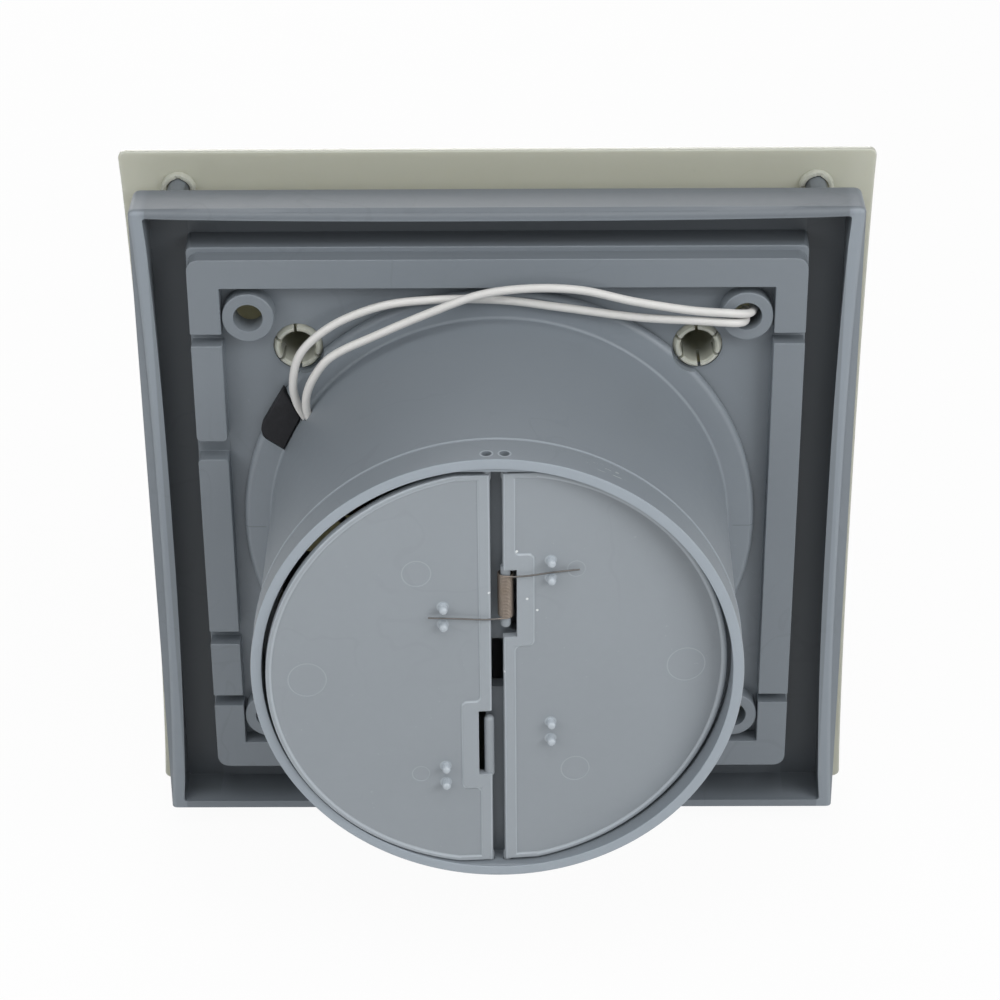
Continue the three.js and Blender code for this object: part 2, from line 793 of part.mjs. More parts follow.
/** The laminated stack: two pole limbs round the rotor, closed by the limb that the coil sits on. */
function statorCore() {
  const shape = new THREE.Shape();
  shape.moveTo(-stackBack, -stackHalfHeight);
  shape.lineTo(stackReach, -stackHalfHeight);
  shape.lineTo(stackReach, stackHalfHeight);
  shape.lineTo(-stackBack, stackHalfHeight);
  shape.closePath();
  const windowEnd = stackReach - stackLimb;
  const windowStart = windowEnd - windowDepth;
  const windowHole = box(
    [windowStart, stackFrontY - sink, -coilHalfHeight - fit],
    [windowEnd, stackRearY + sink, coilHalfHeight + fit],
  );
  const rotorHole = rod(rotorRadius + airGap, 0, 0, stackFrontY - sink, stackRearY + sink, 32);
  const screwHoles = [-1, 1].map((side) =>
    rod(screwRadius + fit, 0, (side * motorScrewSpacing) / 2, stackFrontY - sink, stackRearY + sink),
  );
  const ringSlots = [-1, 1].map((side) => {
    const half = shadingWire / 2 + fit;
    return box(
      [-side * shadingSlotX - half, stackFrontY - sink, side * shadingZ - half],
      [-side * shadingSlotX + half, stackRearY + sink, side * shadingZ + half],
    );
  });
  return cut(slab(shape, stackFrontY, stackRearY), rotorHole, windowHole, ...screwHoles, ...ringSlots);
}

/** The moulded bobbin: a sleeve on the stack's outer limb with a flange at each end. */
function coilBobbin() {
  const clear = fit + bobbinFlange;
  const limb = stackLimb / 2 + fit;
  const sleeve = box(
    [coilCentreX - limb - bobbinFlange, stackFrontY - clear, -coilHalfHeight],
    [coilCentreX + limb + bobbinFlange, stackRearY + clear, coilHalfHeight],
  );
  const flanges = [-1, 1].map((side) => {
    const outer = side * coilHalfHeight;
    const inner = side * (coilHalfHeight - bobbinFlange);
    return box(
      [coilCentreX - limb - coilThickness + bobbinFlange, stackFrontY - coilThickness + fit, Math.min(inner, outer)],
      [coilCentreX + limb + coilThickness, stackRearY + coilThickness - fit, Math.max(inner, outer)],
    );
  });
  const limbHole = box(
    [coilCentreX - limb, stackFrontY - fit, -coilHalfHeight - sink],
    [coilCentreX + limb, stackRearY + fit, coilHalfHeight + sink],
  );
  return cut(join(sleeve, ...flanges), limbHole);
}

/** The winding between the bobbin's flanges, as one taped block round the sleeve. */
function statorCoil() {
  const limb = stackLimb / 2 + fit;
  const inner = bobbinFlange + fit;
  const half = coilHalfHeight - bobbinFlange - fit;
  const winding = box(
    [coilCentreX - limb - coilThickness + bobbinFlange + fit, stackFrontY - coilThickness + 2 * fit, -half],
    [coilCentreX + limb + coilThickness - fit, stackRearY + coilThickness - 2 * fit, half],
  );
  const hollow = box(
    [coilCentreX - limb - inner, stackFrontY - fit - inner, -half - sink],
    [coilCentreX + limb + inner, stackRearY + fit + inner, half + sink],
  );
  return cut(winding, hollow);
}

/** A pressed strip across the stack that carries a bearing bush in its raised middle. */
function bearingBracket(side) {
  const face = side > 0 ? stackRearY + fit : stackFrontY - fit;
  const low = Math.min(face, face + side * bracketThickness);
  const outline = roundedRectangle(bracketWidth, motorScrewSpacing + bracketWidth * 0.7, bracketWidth / 3);
  const strip = slab(outline, low, low + bracketThickness);
  const cupEnd = face + side * (bracketThickness + bushLength - 2);
  const cupRadius = bushRadius + fit + bracketThickness;
  const cup = rod(cupRadius, 0, 0, Math.min(face, cupEnd), Math.max(face, cupEnd));
  const seatEnd = cupEnd - side * bracketThickness * 0.6;
  const past = face - side * sink;
  const seat = rod(bushRadius + fit, 0, 0, Math.min(past, seatEnd), Math.max(past, seatEnd));
  const shaftHole = rod(shaftRadius + 2 * fit, 0, 0, Math.min(past, cupEnd + side), Math.max(past, cupEnd + side));
  const screwHoles = [-1, 1].map((end) =>
    rod(screwRadius + fit, 0, (end * motorScrewSpacing) / 2, low - sink, low + bracketThickness + sink),
  );
  return cut(join(strip, cup), seat, shaftHole, ...screwHoles);
}

/** A sintered bush, seated in its bracket. */
function bearingBush(side) {
  const face = side > 0 ? stackRearY + fit : stackFrontY - fit;
  const outer = face + side * (bracketThickness + bushLength - 2 - bracketThickness * 0.6 - fit);
  const inner = face + side * fit;
  const low = Math.min(inner, outer);
  const high = Math.max(inner, outer);
  return cut(rod(bushRadius, 0, 0, low, high), rod(shaftRadius + 0.1, 0, 0, low - sink, high + sink));
}

const shaftFront = () => stackFrontY - bracketThickness - bushLength + fit;
const hubRear = hubFront + hubLength;
const motorShaft = () => rod(shaftRadius, 0, 0, shaftFront(), hubRear + clipThickness + 3 * fit);

function rotorCore() {
  const body = rod(rotorRadius, 0, 0, stackFrontY + fit, stackRearY - fit, 32);
  return cut(body, rod(shaftRadius + fit, 0, 0, stackFrontY - sink, stackRearY + sink));
}

/** A copper loop through a slot and round the shaded tip of one pole. */
function shadingLoop(side) {
  const half = shadingWire / 2;
  const outer = side > 0 ? stackBack + fit + half : stackReach - stackLimb - windowDepth + fit + half;
  const low = Math.min(-side * shadingSlotX, -side * outer) - half;
  const high = Math.max(-side * shadingSlotX, -side * outer) + half;
  const z = side * shadingZ;
  const front = stackFrontY - fit;
  const rear = stackRearY + fit;
  const loop = box([low, front - shadingWire, z - half], [high, rear + shadingWire, z + half]);
  return cut(loop, box([low + shadingWire, front, z - shadingWire], [high - shadingWire, rear, z + shadingWire]));
}

/** A pan-head screw along Y: its head at headY, its tip towards +Y. */
function screw(x, z, headY, length, radius = screwRadius, headRadius = screwHeadRadius) {
  const head = rod(headRadius, x, z, headY - screwHeadHeight, headY, 12);
  const slot = box(
    [x - headRadius, headY - screwHeadHeight - sink, z - 0.3],
    [x + headRadius, headY - screwHeadHeight / 2, z + 0.3],
  );
  return join(cut(head, slot), rod(radius, x, z, headY - fit, headY + length, 10));
}

// ---------------------------------------------------------------- impeller

/** One twisted, cambered blade, from inside the hub's wall to the tip. */
function blade(turn) {
  const stations = 5;
  const middle = hubFront + hubLength / 2;
  const root = hubRadius - hubWall / 2;
  const rings = Array.from({ length: stations }, (_, i) => {
    const share = i / (stations - 1);
    const radius = THREE.MathUtils.lerp(root, bladeTipRadius, share);
    const pitch = THREE.MathUtils.degToRad(THREE.MathUtils.lerp(bladeRootPitch, bladeTipPitch, share));
    const chord = THREE.MathUtils.lerp(bladeRootChord, bladeTipChord, share);
    const along = [-0.5, -0.25, 0, 0.25, 0.5];
    const outline = [
      ...along.map((s) => [s, 1]),
      ...[...along].reverse().map((s) => [s, -1]),
    ];
    return outline.map(([s, face]) => {
      const bulge = bladeCamber * (1 - 4 * s * s);
      const thick = (face * bladeThickness * (1 - 2.4 * s * s)) / 2;
      const across = s * chord * Math.cos(pitch) - (bulge + thick) * Math.sin(pitch);
      const axial = s * chord * Math.sin(pitch) + (bulge + thick) * Math.cos(pitch);
      const angle = turn + across / radius;
      return new THREE.Vector3(radius * Math.cos(angle), middle + axial, radius * Math.sin(angle));
    });
  });
  const made = solid(loft(rings));
  return made.volume() > 0 ? made : solid(loft(rings.reverse()));
}

function impeller() {
  const rear = hubRear;
  const cup = turned([
    [shaftRadius + fit, hubFront + 2],
    [hubBoss, hubFront + 2],
    [hubBoss, rear - hubWall],
    [hubRadius - hubWall, rear - 2 * hubWall],
    [hubRadius - hubWall, hubFront],
    [hubRadius, hubFront],
    [hubRadius, rear - 2 * hubWall],
    [hubRadius - hubWall, rear - hubWall * 0.4],
    [hubRadius - 2.5 * hubWall, rear],
    [shaftRadius + fit, rear],
    [shaftRadius + fit, hubFront + 2],
  ], 28);
  const blades = Array.from({ length: bladeCount }, (_, i) => blade((2 * Math.PI * i) / bladeCount));
  return join(cup, ...blades);
}

function impellerClip() {
  const low = hubRear + fit;
  return cut(
    rod(clipRadius, 0, 0, low, low + clipThickness),
    rod(shaftRadius + 0.1, 0, 0, low - sink, low + clipThickness + sink),
  );
}

// ---------------------------------------------------------------- terminal block, clamp and wires

const blockRear = plateFront - fit;
const poleX = [-1, 1].map((side) => blockX + (side * poleSpacing) / 2);
const poleY = blockRear - blockHeight * 0.55;

function terminalBlock() {
  const low = [blockX - blockWidth / 2, blockRear - blockHeight, blockZ - blockLength / 2];
  const high = [blockX + blockWidth / 2, blockRear, blockZ + blockLength / 2];
  const groove = box(
    [blockX - 0.8, low[1] - sink, low[2] - sink],
    [blockX + 0.8, low[1] + blockHeight / 2, high[2] + sink],
  );
  const wireHoles = poleX.map((x) => uprightRod(terminalHole, x, poleY, low[2] - sink, high[2] + sink, 12));
  const screwHoles = poleX.flatMap((x) =>
    terminalRows.map((row) => rod(terminalScrewRadius + 0.7, x, blockZ + row, low[1] - sink, poleY, 12)),
  );
  const fixing = rod(screwRadius + fit, blockX, blockZ, low[1] - sink, blockRear + sink, 12);
  const headSeat = rod(screwHeadRadius + fit, blockX, blockZ, low[1] - sink, low[1] + blockHeight / 2, 16);
  return cut(box(low, high), groove, ...wireHoles, ...screwHoles, fixing, headSeat);
}

function terminalScrew(x, row) {
  const front = blockRear - blockHeight;
  const z = blockZ + row;
  const body = rod(terminalScrewRadius, x, z, front + 1, poleY - wireDiameter / 2 - fit / 2, 12);
  const slot = box([x - terminalScrewRadius, front, z - 0.25], [x + terminalScrewRadius, front + 1.8, z + 0.25]);
  return cut(body, slot);
}

function cordClamp() {
  const rear = plateFront - clampOpening - fit;
  const bar = box(
    [blockX - clampScrewSpacing / 2 - screwHeadRadius, rear - clampHeight, clampZ - clampWidth / 2],
    [blockX + clampScrewSpacing / 2 + screwHeadRadius, rear, clampZ + clampWidth / 2],
  );
  const holes = [-1, 1].map((side) =>
    rod(screwRadius + fit, blockX + (side * clampScrewSpacing) / 2, clampZ, rear - clampHeight - sink, rear + sink),
  );
  return cut(bar, ...holes);
}

// Each wire's route, chosen by hand: [x, y, z] from the coil's tags, out through the duct's wall,
// over the spigot's foot, into a corner boss and down to the terminal block.
const outerWireRoute = [
  [33.4, -1.6, 5.0],
  [36.4, -1.9, 8.0],
  [38.2, -1.6, 14.0],
  [38.4, -1.1, 19.5],
  [39.2, -0.85, 24.2],
  [41.3, -0.55, 27.2],
  [42.8, -0.1, 30.8],
  [43.3, 0.5, 35.4],
  [41.5, 1.0, 42.6],
  [34.9, 0.8, 48.9],
  [24.4, 0.1, 53.2],
  [13.9, -0.4, 54.4],
  [-0.7, -0.5, 54.3],
  [-13.3, -0.4, 52.6],
  [-30.0, 0.3, 50.5],
  [-42.0, 1.1, 50.1],
  [-47.2, 1.3, 49.8],
  [-50.1, 0.9, 49.5],
  [-51.7, -0.9, 49.0],
  [-52.2, -3.5, 48.8],
  [-52.4, -6.6, 48.8],
  [-52.3, -10.0, 47.2],
  [-52.0, -12.0, 43.0],
  [-51.8, -12.3, 36.0],
  [-51.8, -12.2, 29.5],
  [-51.8, -12.2, 25.0],
];
const innerWireRoute = [
  [33.4, 2.4, 3.0],
  [36.0, 2.4, 6.0],
  [37.4, 2.3, 13.0],
  [37.6, 2.0, 19.6],
  [38.2, 1.95, 24.2],
  [39.9, 1.9, 27.6],
  [40.6, 2.1, 30.6],
  [40.2, 2.5, 34.3],
  [38.3, 2.9, 38.7],
  [35.0, 3.2, 42.9],
  [24.4, 3.4, 48.5],
  [13.8, 2.9, 53.1],
  [3.4, 2.4, 56.9],
  [-7.0, 2.2, 58.2],
  [-17.4, 2.1, 57.7],
  [-27.9, 1.9, 55.1],
  [-38.3, 1.7, 53.1],
  [-43.0, 1.7, 52.5],
  [-48.0, 1.6, 52.1],
  [-51.0, 0.7, 51.5],
  [-52.9, -1.3, 50.8],
  [-53.7, -3.6, 50.6],
  [-53.9, -6.5, 50.6],
  [-54.2, -10.2, 49.4],
  [-56.4, -12.4, 44.0],
  [-58.6, -12.4, 36.0],
  [-58.8, -12.2, 29.5],
  [-58.8, -12.2, 25.0],
];

/** A round wire of eight sides along a smooth route, grown all round by a margin. */
function leadWire(route, margin) {
  const path = new THREE.CatmullRomCurve3(route.map((point) => new THREE.Vector3(...point)), false, "centripetal");
  const section = new THREE.Shape(
    Array.from({ length: 8 }, (_, i) => {
      const turn = (2 * Math.PI * i) / 8;
      return new THREE.Vector2(Math.cos(turn), Math.sin(turn)).multiplyScalar(wireDiameter / 2 + margin);
    }),
  );
  return solid(new THREE.ExtrudeGeometry(section, { steps: wireSteps, extrudePath: path, bevelEnabled: false }));
}

// ---------------------------------------------------------------- assembly

const fan = new THREE.Group();

fan.add(
  piece("base_housing", baseHousing(), housingGrey),
  piece("duct_spigot", ductSpigot(), housingGrey),
  piece("front_panel", frontPanel(), panelIvory),
  piece("wire_seal", wireSeal(), sealBlack),
  piece("lead_wire_outer", leadWire(outerWireRoute, 0), wireWhite),
  piece("lead_wire_inner", leadWire(innerWireRoute, 0), wireWhite),
);

const flapMoulding = flap();
const rightFlap = piece("flap_right", flapMoulding, flapGrey);
const leftFlap = piece("flap_left", flapMoulding, flapGrey);
leftFlap.rotation.y = Math.PI;
fan.add(
  hinged(-hingeOffset, -rightFlapShut, rightFlapDrop, rightFlap),
  hinged(hingeOffset, leftFlapAjar, leftFlapDrop, leftFlap),
);

const springPoints = springPath();
console.log("shutter spring: least gap " + leastGap(springPoints, springWire, 6).toFixed(2) + " mm");
fan.add(piece("shutter_spring", solid(wireTube(springPoints, springWire / 2, 5)), springSteel));

fan.add(
  piece("motor_mount", motorMount(), housingGrey),
  piece("stator_core", statorCore(), laminations),
  piece("coil_bobbin", coilBobbin(), bobbinBlack),
  piece("stator_coil", statorCoil(), copper),
  piece("bearing_bracket_front", bearingBracket(-1), bracketSteel),
  piece("bearing_bracket_rear", bearingBracket(1), bracketSteel),
  piece("bearing_bush_front", bearingBush(-1), bronze),
  piece("bearing_bush_rear", bearingBush(1), bronze),
  piece("shading_ring_upper", shadingLoop(1), copper),
  piece("shading_ring_lower", shadingLoop(-1), copper),
  piece("motor_shaft", motorShaft(), screwSteel),
  piece("rotor_core", rotorCore(), laminations),
  piece("impeller", impeller(), impellerGrey),
  piece("impeller_clip", impellerClip(), screwSteel),
  piece("terminal_block", terminalBlock(), blockNatural),
  piece("cord_clamp", cordClamp(), housingGrey),
);

const mountScrewLength = armThickness + 4;
mountPlaces.forEach(([x, z], i) => {
  fan.add(piece("mount_screw_" + (i + 1), screw(x, z, -mountDepth - fit, mountScrewLength), screwSteel));
});
[-1, 1].forEach((side, i) => {
  const z = (side * motorScrewSpacing) / 2;
  const length = mountDepth + stackRearY + bracketThickness + 1.5;
  fan.add(piece("motor_screw_" + (i + 1), screw(0, z, -mountDepth - fit, length), screwSteel));
});
poleX.forEach((x, column) => {
  terminalRows.forEach((row, line) => {
    fan.add(piece("terminal_screw_" + (2 * column + line + 1), terminalScrew(x, row), bronze));
  });
});
const blockHeadY = blockRear - blockHeight / 2 - fit;
fan.add(
  piece("block_screw", screw(blockX, blockZ, blockHeadY, blockHeight / 2 + 1, screwRadius, screwHeadRadius), screwSteel),
);
[-1, 1].forEach((side, i) => {
  const x = blockX + (side * clampScrewSpacing) / 2;
  const headY = plateFront - clampOpening - clampHeight - 2 * fit;
  fan.add(piece("clamp_screw_" + (i + 1), screw(x, clampZ, headY, clampHeight + clampOpening), screwSteel));
});

export default fan;
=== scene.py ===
"""Looks of a window exhaust fan, seen from behind: housing, duct spigot, shutter flaps and wiring.

Sizes are in millimetres in the classes below and become metres where a mesh is made. The frame is
the CAD part's own: the duct points along +Y, the room is at -Y and +Z is up.
"""

import logging
import math
from dataclasses import dataclass, field
from enum import Enum
from functools import reduce
from typing import Callable, Iterable, Sequence

import bmesh
import bpy
from mathutils import Matrix, Vector

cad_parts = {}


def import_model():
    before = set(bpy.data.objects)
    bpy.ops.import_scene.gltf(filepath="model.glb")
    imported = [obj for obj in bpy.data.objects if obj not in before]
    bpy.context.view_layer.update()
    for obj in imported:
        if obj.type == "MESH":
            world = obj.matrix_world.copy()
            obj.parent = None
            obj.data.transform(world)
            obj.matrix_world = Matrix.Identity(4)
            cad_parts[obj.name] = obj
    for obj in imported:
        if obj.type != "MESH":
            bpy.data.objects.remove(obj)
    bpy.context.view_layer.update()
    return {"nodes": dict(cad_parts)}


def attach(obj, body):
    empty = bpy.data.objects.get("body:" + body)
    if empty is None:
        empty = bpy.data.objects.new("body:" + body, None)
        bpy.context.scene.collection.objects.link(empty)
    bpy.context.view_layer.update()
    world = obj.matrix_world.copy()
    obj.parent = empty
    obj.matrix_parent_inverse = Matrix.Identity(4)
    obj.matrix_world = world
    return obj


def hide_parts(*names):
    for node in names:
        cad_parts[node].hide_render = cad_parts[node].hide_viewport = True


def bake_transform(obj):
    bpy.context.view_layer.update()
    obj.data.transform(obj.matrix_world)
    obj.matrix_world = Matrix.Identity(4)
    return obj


log = logging.getLogger("exhaust_fan")

MM = 0.001
Object = bpy.types.Object
Material = bpy.types.Material
Place = tuple[float, float]
Point = tuple[float, float, float]
Colour = tuple[float, float, float]

HINGE_X, HINGE_Y = 1.75, 57.1  # both flaps' upright hinges stand at plus and minus this X
LEFT_AJAR, RIGHT_SHUT = 3.5, -5.5  # the flaps' turns from flat in the photograph, in degrees


# ------------------------------------------------------------------------------------ workbench


class Axis(Enum):
    """The directions that a round primitive can stand in."""

    Y = (math.pi / 2, 0.0, 0.0)
    Z = (0.0, 0.0, 0.0)


class Join(Enum):
    """How one solid meets another."""

    ADD = "UNION"
    CUT = "DIFFERENCE"
    KEEP = "INTERSECT"


def metres(point: Iterable[float]) -> Vector:
    """A point given in millimetres, as a vector in metres."""
    return Vector(point) * MM


def four(x: float, z: float, lift: float = 0.0) -> list[Place]:
    """The four places at plus and minus x and z, all raised by a lift."""
    return [(sx * x, sz * z + lift) for sx in (1, -1) for sz in (1, -1)]


def deselect() -> None:
    """Leaves edit mode with nothing selected."""
    if bpy.context.mode != "OBJECT":
        bpy.ops.object.mode_set(mode="OBJECT")
    bpy.ops.object.select_all(action="DESELECT")


def select_all() -> None:
    """Selects the whole mesh, in edit mode."""
    bpy.ops.mesh.select_all(action="SELECT")


def select_only(piece: Object) -> Object:
    """Leaves edit mode and makes one object the only selected and active one.

    Args:
        piece: The object.

    Returns:
        The same object.
    """
    deselect()
    piece.select_set(True)
    bpy.context.view_layer.objects.active = piece
    return piece


def edit(piece: Object, kind: str | None = None) -> None:
    """Enters edit mode on one object, selecting that kind of element.

    Args:
        piece: The object to edit.
        kind: VERT, EDGE or FACE, or None to leave it as it is.
    """
    select_only(piece)
    bpy.ops.object.mode_set(mode="EDIT")
    if kind:
        bpy.ops.mesh.select_mode(type=kind)


def pick(piece: Object, test: Callable[[Vector], bool]) -> bool:
    """Selects only the vertices that pass a test, in edit mode.

    Args:
        piece: The object that is being edited.
        test: Called with each vertex's place, in millimetres.

    Returns:
        Whether any vertex passes.
    """
    bpy.ops.mesh.select_all(action="DESELECT")
    mesh = bmesh.from_edit_mesh(piece.data)
    chosen = [vert for vert in mesh.verts if test(vert.co / MM)]
    for vert in chosen:
        vert.select_set(True)
    mesh.select_flush(True)
    bmesh.update_edit_mesh(piece.data)
    return bool(chosen)


def settle(piece: Object, place: Point | None = None) -> Object:
    """Puts an object's place, turn and scale into its mesh, after a move if one is given.

    Args:
        piece: The object.
        place: Where it is moved first, in millimetres, or None.

    Returns:
        The same object.
    """
    if place:
        piece.location = metres(place)
    select_only(piece)
    bpy.ops.object.transform_apply(location=True, rotation=True, scale=True)
    return piece


def named(name: str) -> Object:
    """Names the primitive that was just added and settles it."""
    bpy.context.active_object.name = name
    return settle(bpy.context.active_object)


def block(name: str, low: Point, high: Point) -> Object:
    """A rectangular block to be shaped further, between two corners in millimetres.

    Args:
        name: The object's name.
        low: Its lowest corner, in millimetres.
        high: Its highest corner.

    Returns:
        The new mesh object.
    """
    deselect()
    middle = (metres(low) + metres(high)) / 2
    bpy.ops.mesh.primitive_cube_add(size=1, location=middle, scale=metres(high) - metres(low))
    return named(name)


def drum(
    name: str, radius: float, low: Point, length: float, sides: int = 48, axis: Axis = Axis.Y
) -> Object:
    """A round bar to be shaped further.

    Args:
        name: The object's name.
        radius: Its radius, in millimetres.
        low: The middle of its lower end.
        length: Its length along the axis.
        sides: How many sides it has.
        axis: The direction it stands in.

    Returns:
        The new mesh object.
    """
    deselect()
    along = Vector((0, 1, 0)) if axis is Axis.Y else Vector((0, 0, 1))
    bpy.ops.mesh.primitive_cylinder_add(
        vertices=sides,
        radius=radius * MM,
        depth=length * MM,
        location=metres(low) + along * (length * MM / 2),
        rotation=axis.value,
    )
    return named(name)


def drums(
    name: str, radius: float, places: Sequence[Place], start: float, length: float, sides: int
) -> list[Object]:
    """Round bars along the duct's axis.

    Args:
        name: The objects' name.
        radius: Their radius, in millimetres.
        places: Where they stand in X and Z.
        start: Where they start along Y.
        length: Their length.
        sides: How many sides each has.

    Returns:
        The new mesh objects.
    """
    return [drum(name, radius, (x, start, z), length, sides) for x, z in places]


class Pen:
    """Draws a line by extruding one vertex, as by hand in edit mode, and makes a solid of it."""

    def __init__(self, name: str, points: Sequence[Sequence[float]], closed: bool = True) -> None:
        """Draws the whole line.

        Args:
            name: The new object's name.
            points: The line's points in millimetres, each (x, y, z), or (x, y) where z is 0.
            closed: Whether the last point is joined to the first.
        """
        line = [Vector((*point, 0.0)[:3]) for point in points]
        deselect()
        bpy.ops.mesh.primitive_plane_add(size=MM, location=metres(line[0]))
        self.piece = named(name)
        edit(self.piece, "VERT")
        select_all()
        bpy.ops.mesh.merge(type="CENTER")
        for start, end in zip(line, line[1:] + line[:1] if closed else line[1:]):
            self.extrude(end - start)
        if closed:
            self.weld(1e-6)

    def extrude(self, step: Vector) -> None:
        """Extrudes what is selected by a step in millimetres."""
        bpy.ops.mesh.extrude_region_move(TRANSFORM_OT_translate={"value": step * MM})

    def weld(self, distance: float) -> None:
        """Selects everything and merges vertices at one place."""
        select_all()
        bpy.ops.mesh.remove_doubles(threshold=distance)

    def outward(self) -> Object:
        """Turns every face outwards and gives the finished object."""
        select_all()
        bpy.ops.mesh.normals_make_consistent(inside=False)
        return select_only(self.piece)

    def thicken(self, depth: float) -> Object:
        """Fills the closed line and extrudes it along Y into a solid.

        Args:
            depth: How far, in millimetres.

        Returns:
            The finished object.
        """
        select_all()
        bpy.ops.mesh.edge_face_add()
        select_all()
        self.extrude(Vector((0, depth, 0)))
        return self.outward()

    def turn(self, steps: int) -> Object:
        """Spins the line round the duct's axis, in that many steps, into a closed body.

        Args:
            steps: How many steps the turn has.

        Returns:
            The finished object.
        """
        select_all()
        bpy.ops.mesh.spin(steps=steps, angle=2 * math.pi, center=(0, 0, 0), axis=(0, 1, 0))
        self.weld(2e-6)
        return self.outward()


def round_edges(
    piece: Object, test: Callable[[Vector, Vector], bool], radius: float, segments: int
) -> Object:
    """Bevels the edges sharper than 20 degrees whose two ends pass a test.

    Args:
        piece: The object to edit.
        test: Called with an edge's two ends, in millimetres.
        radius: The bevel's width, in millimetres.
        segments: How many faces the bevel has.

    Returns:
        The same object.
    """
    edit(piece, "EDGE")
    bpy.ops.mesh.select_all(action="DESELECT")
    mesh = bmesh.from_edit_mesh(piece.data)
    found = False
    for edge in mesh.edges:
        ends = [vert.co / MM for vert in edge.verts]
        if test(*ends) and edge.calc_face_angle(math.pi) > math.radians(20):
            edge.select_set(True)
            found = True
    bmesh.update_edit_mesh(piece.data)
    if found:
        bpy.ops.mesh.bevel(offset=radius * MM, segments=segments, profile=0.5, affect="EDGES")
    return select_only(piece)


def longer(depth: float) -> Callable[[Vector, Vector], bool]:
    """A test for edges that run further than a depth along Y."""
    return lambda a, b: abs(a.y - b.y) > depth


def applied(piece: Object, kind: str, **settings: object) -> Object:
    """Applies a modifier of that kind with those settings.

    Args:
        piece: The object to change.
        kind: The modifier's type.
        settings: Its properties.

    Returns:
        The same object.
    """
    modifier = piece.modifiers.new(kind.lower(), kind)
    for name, value in settings.items():
        setattr(modifier, name, value)
    select_only(piece)
    bpy.ops.object.modifier_apply(modifier=modifier.name)
    return piece


def soften(piece: Object, radius: float, segments: int = 2, angle: float = 40) -> Object:
    """Rounds every edge that is sharper than an angle in degrees.

    Args:
        piece: The object to change.
        radius: The rounding's width, in millimetres.
        segments: How many faces it has.
        angle: The least angle, in degrees.

    Returns:
        The same object.
    """
    return applied(
        piece,
        "BEVEL",
        limit_method="ANGLE",
        angle_limit=math.radians(angle),
        width=radius * MM,
        segments=segments,
        miter_outer="MITER_ARC",
    )


def combine(pieces: Sequence[Object]) -> Object:
    """Joins several objects into the first one's mesh without merging their solids.

    Args:
        pieces: The objects, which are used up but for the first.

    Returns:
        The first object.
    """
    select_only(pieces[0])
    for other in pieces[1:]:
        other.select_set(True)
    bpy.ops.object.join()
    return bpy.context.view_layer.objects.active


def meet(piece: Object, how: Join, *tools: Object) -> Object:
    """Adds, cuts or keeps solids.

    Args:
        piece: The solid to change.
        how: What happens where they meet.
        tools: Solids that are used up.

    Returns:
        The changed object.
    """
    for tool in tools:
        applied(piece, "BOOLEAN", operation=how.value, solver="EXACT", object=tool)
        bpy.data.objects.remove(tool, do_unlink=True)
    return piece


def polish(piece: Object, angle: float = 31) -> Object:
    """Merges doubles, then smooths all but the edges that are sharper than an angle.

    Args:
        piece: The object to change.
        angle: The least angle of a sharp edge, in degrees.

    Returns:
        The same object.
    """
    edit(piece)
    select_all()
    bpy.ops.mesh.remove_doubles(threshold=1e-6)
    bpy.ops.object.mode_set(mode="OBJECT")
    bpy.ops.object.shade_smooth_by_angle(angle=math.radians(angle))
    return applied(piece, "WEIGHTED_NORMAL", keep_sharp=True, weight=80)


def linked(name: str, data: bpy.types.ID) -> Object:
    """A new object in the scene, made of that mesh, curve, lamp or camera."""
    made = bpy.data.objects.new(name, data)
    bpy.context.scene.collection.objects.link(made)
    return made


def copies(piece: Object, turns: Sequence[float], places: Sequence[Place]) -> list[Object]:
    """Copies a piece, each copy with a mesh of its own, and uses the piece up.

    Args:
        piece: The piece, which stands on the duct's axis.
        turns: Each copy's turn about that axis, in radians.
        places: Where each copy stands in X and Z.

    Returns:
        The copies.
    """
    made = []
    for turn, (x, z) in zip(turns, places):
        copy = linked(piece.name, piece.data.copy())
        copy.rotation_euler = (0, turn, 0)
        made.append(settle(copy, (x, 0, z)))
    bpy.data.objects.remove(piece, do_unlink=True)
    return made


def slice_up(axis: int, places: Sequence[float]) -> None:
    """Cuts the edited mesh across one axis at each of the places, in millimetres.

    Args:
        axis: The axis, 0 for X and 2 for Z.
        places: Where it is cut, in millimetres.
    """
    normal = Vector([float(i == axis) for i in range(3)])
    for place in places:
        select_all()
        bpy.ops.mesh.bisect(plane_co=normal * place * MM, plane_no=normal)


def draw_in(
    piece: Object,
    across: int,
    side: int,
    columns: Sequence[float],
    beyond: Place,
    bow: Place,
) -> None:
    """Draws one side of the edited mesh in, most at its middle.

    Args:
        piece: The object.
        across: The axis that the vertices move along.
        side: Which side, 1 or -1.
        columns: The places along the side that have vertices.
        beyond: The moved vertices' least distance out, and their least place in Y.
        bow: How far the side's middle moves, and half the side's length.
    """
    for column in columns:
        at_side = lambda p: side * p[across] > beyond[0] and p.y > beyond[1]
        if pick(piece, lambda p: abs(p[2 - across] - column) < 0.05 and at_side(p)):
            step = [0.0, 0.0, 0.0]
            step[across] = -side * (bow[0] * (1 - abs(column / bow[1]) ** 2.5))
            bpy.ops.transform.translate(value=metres(step))


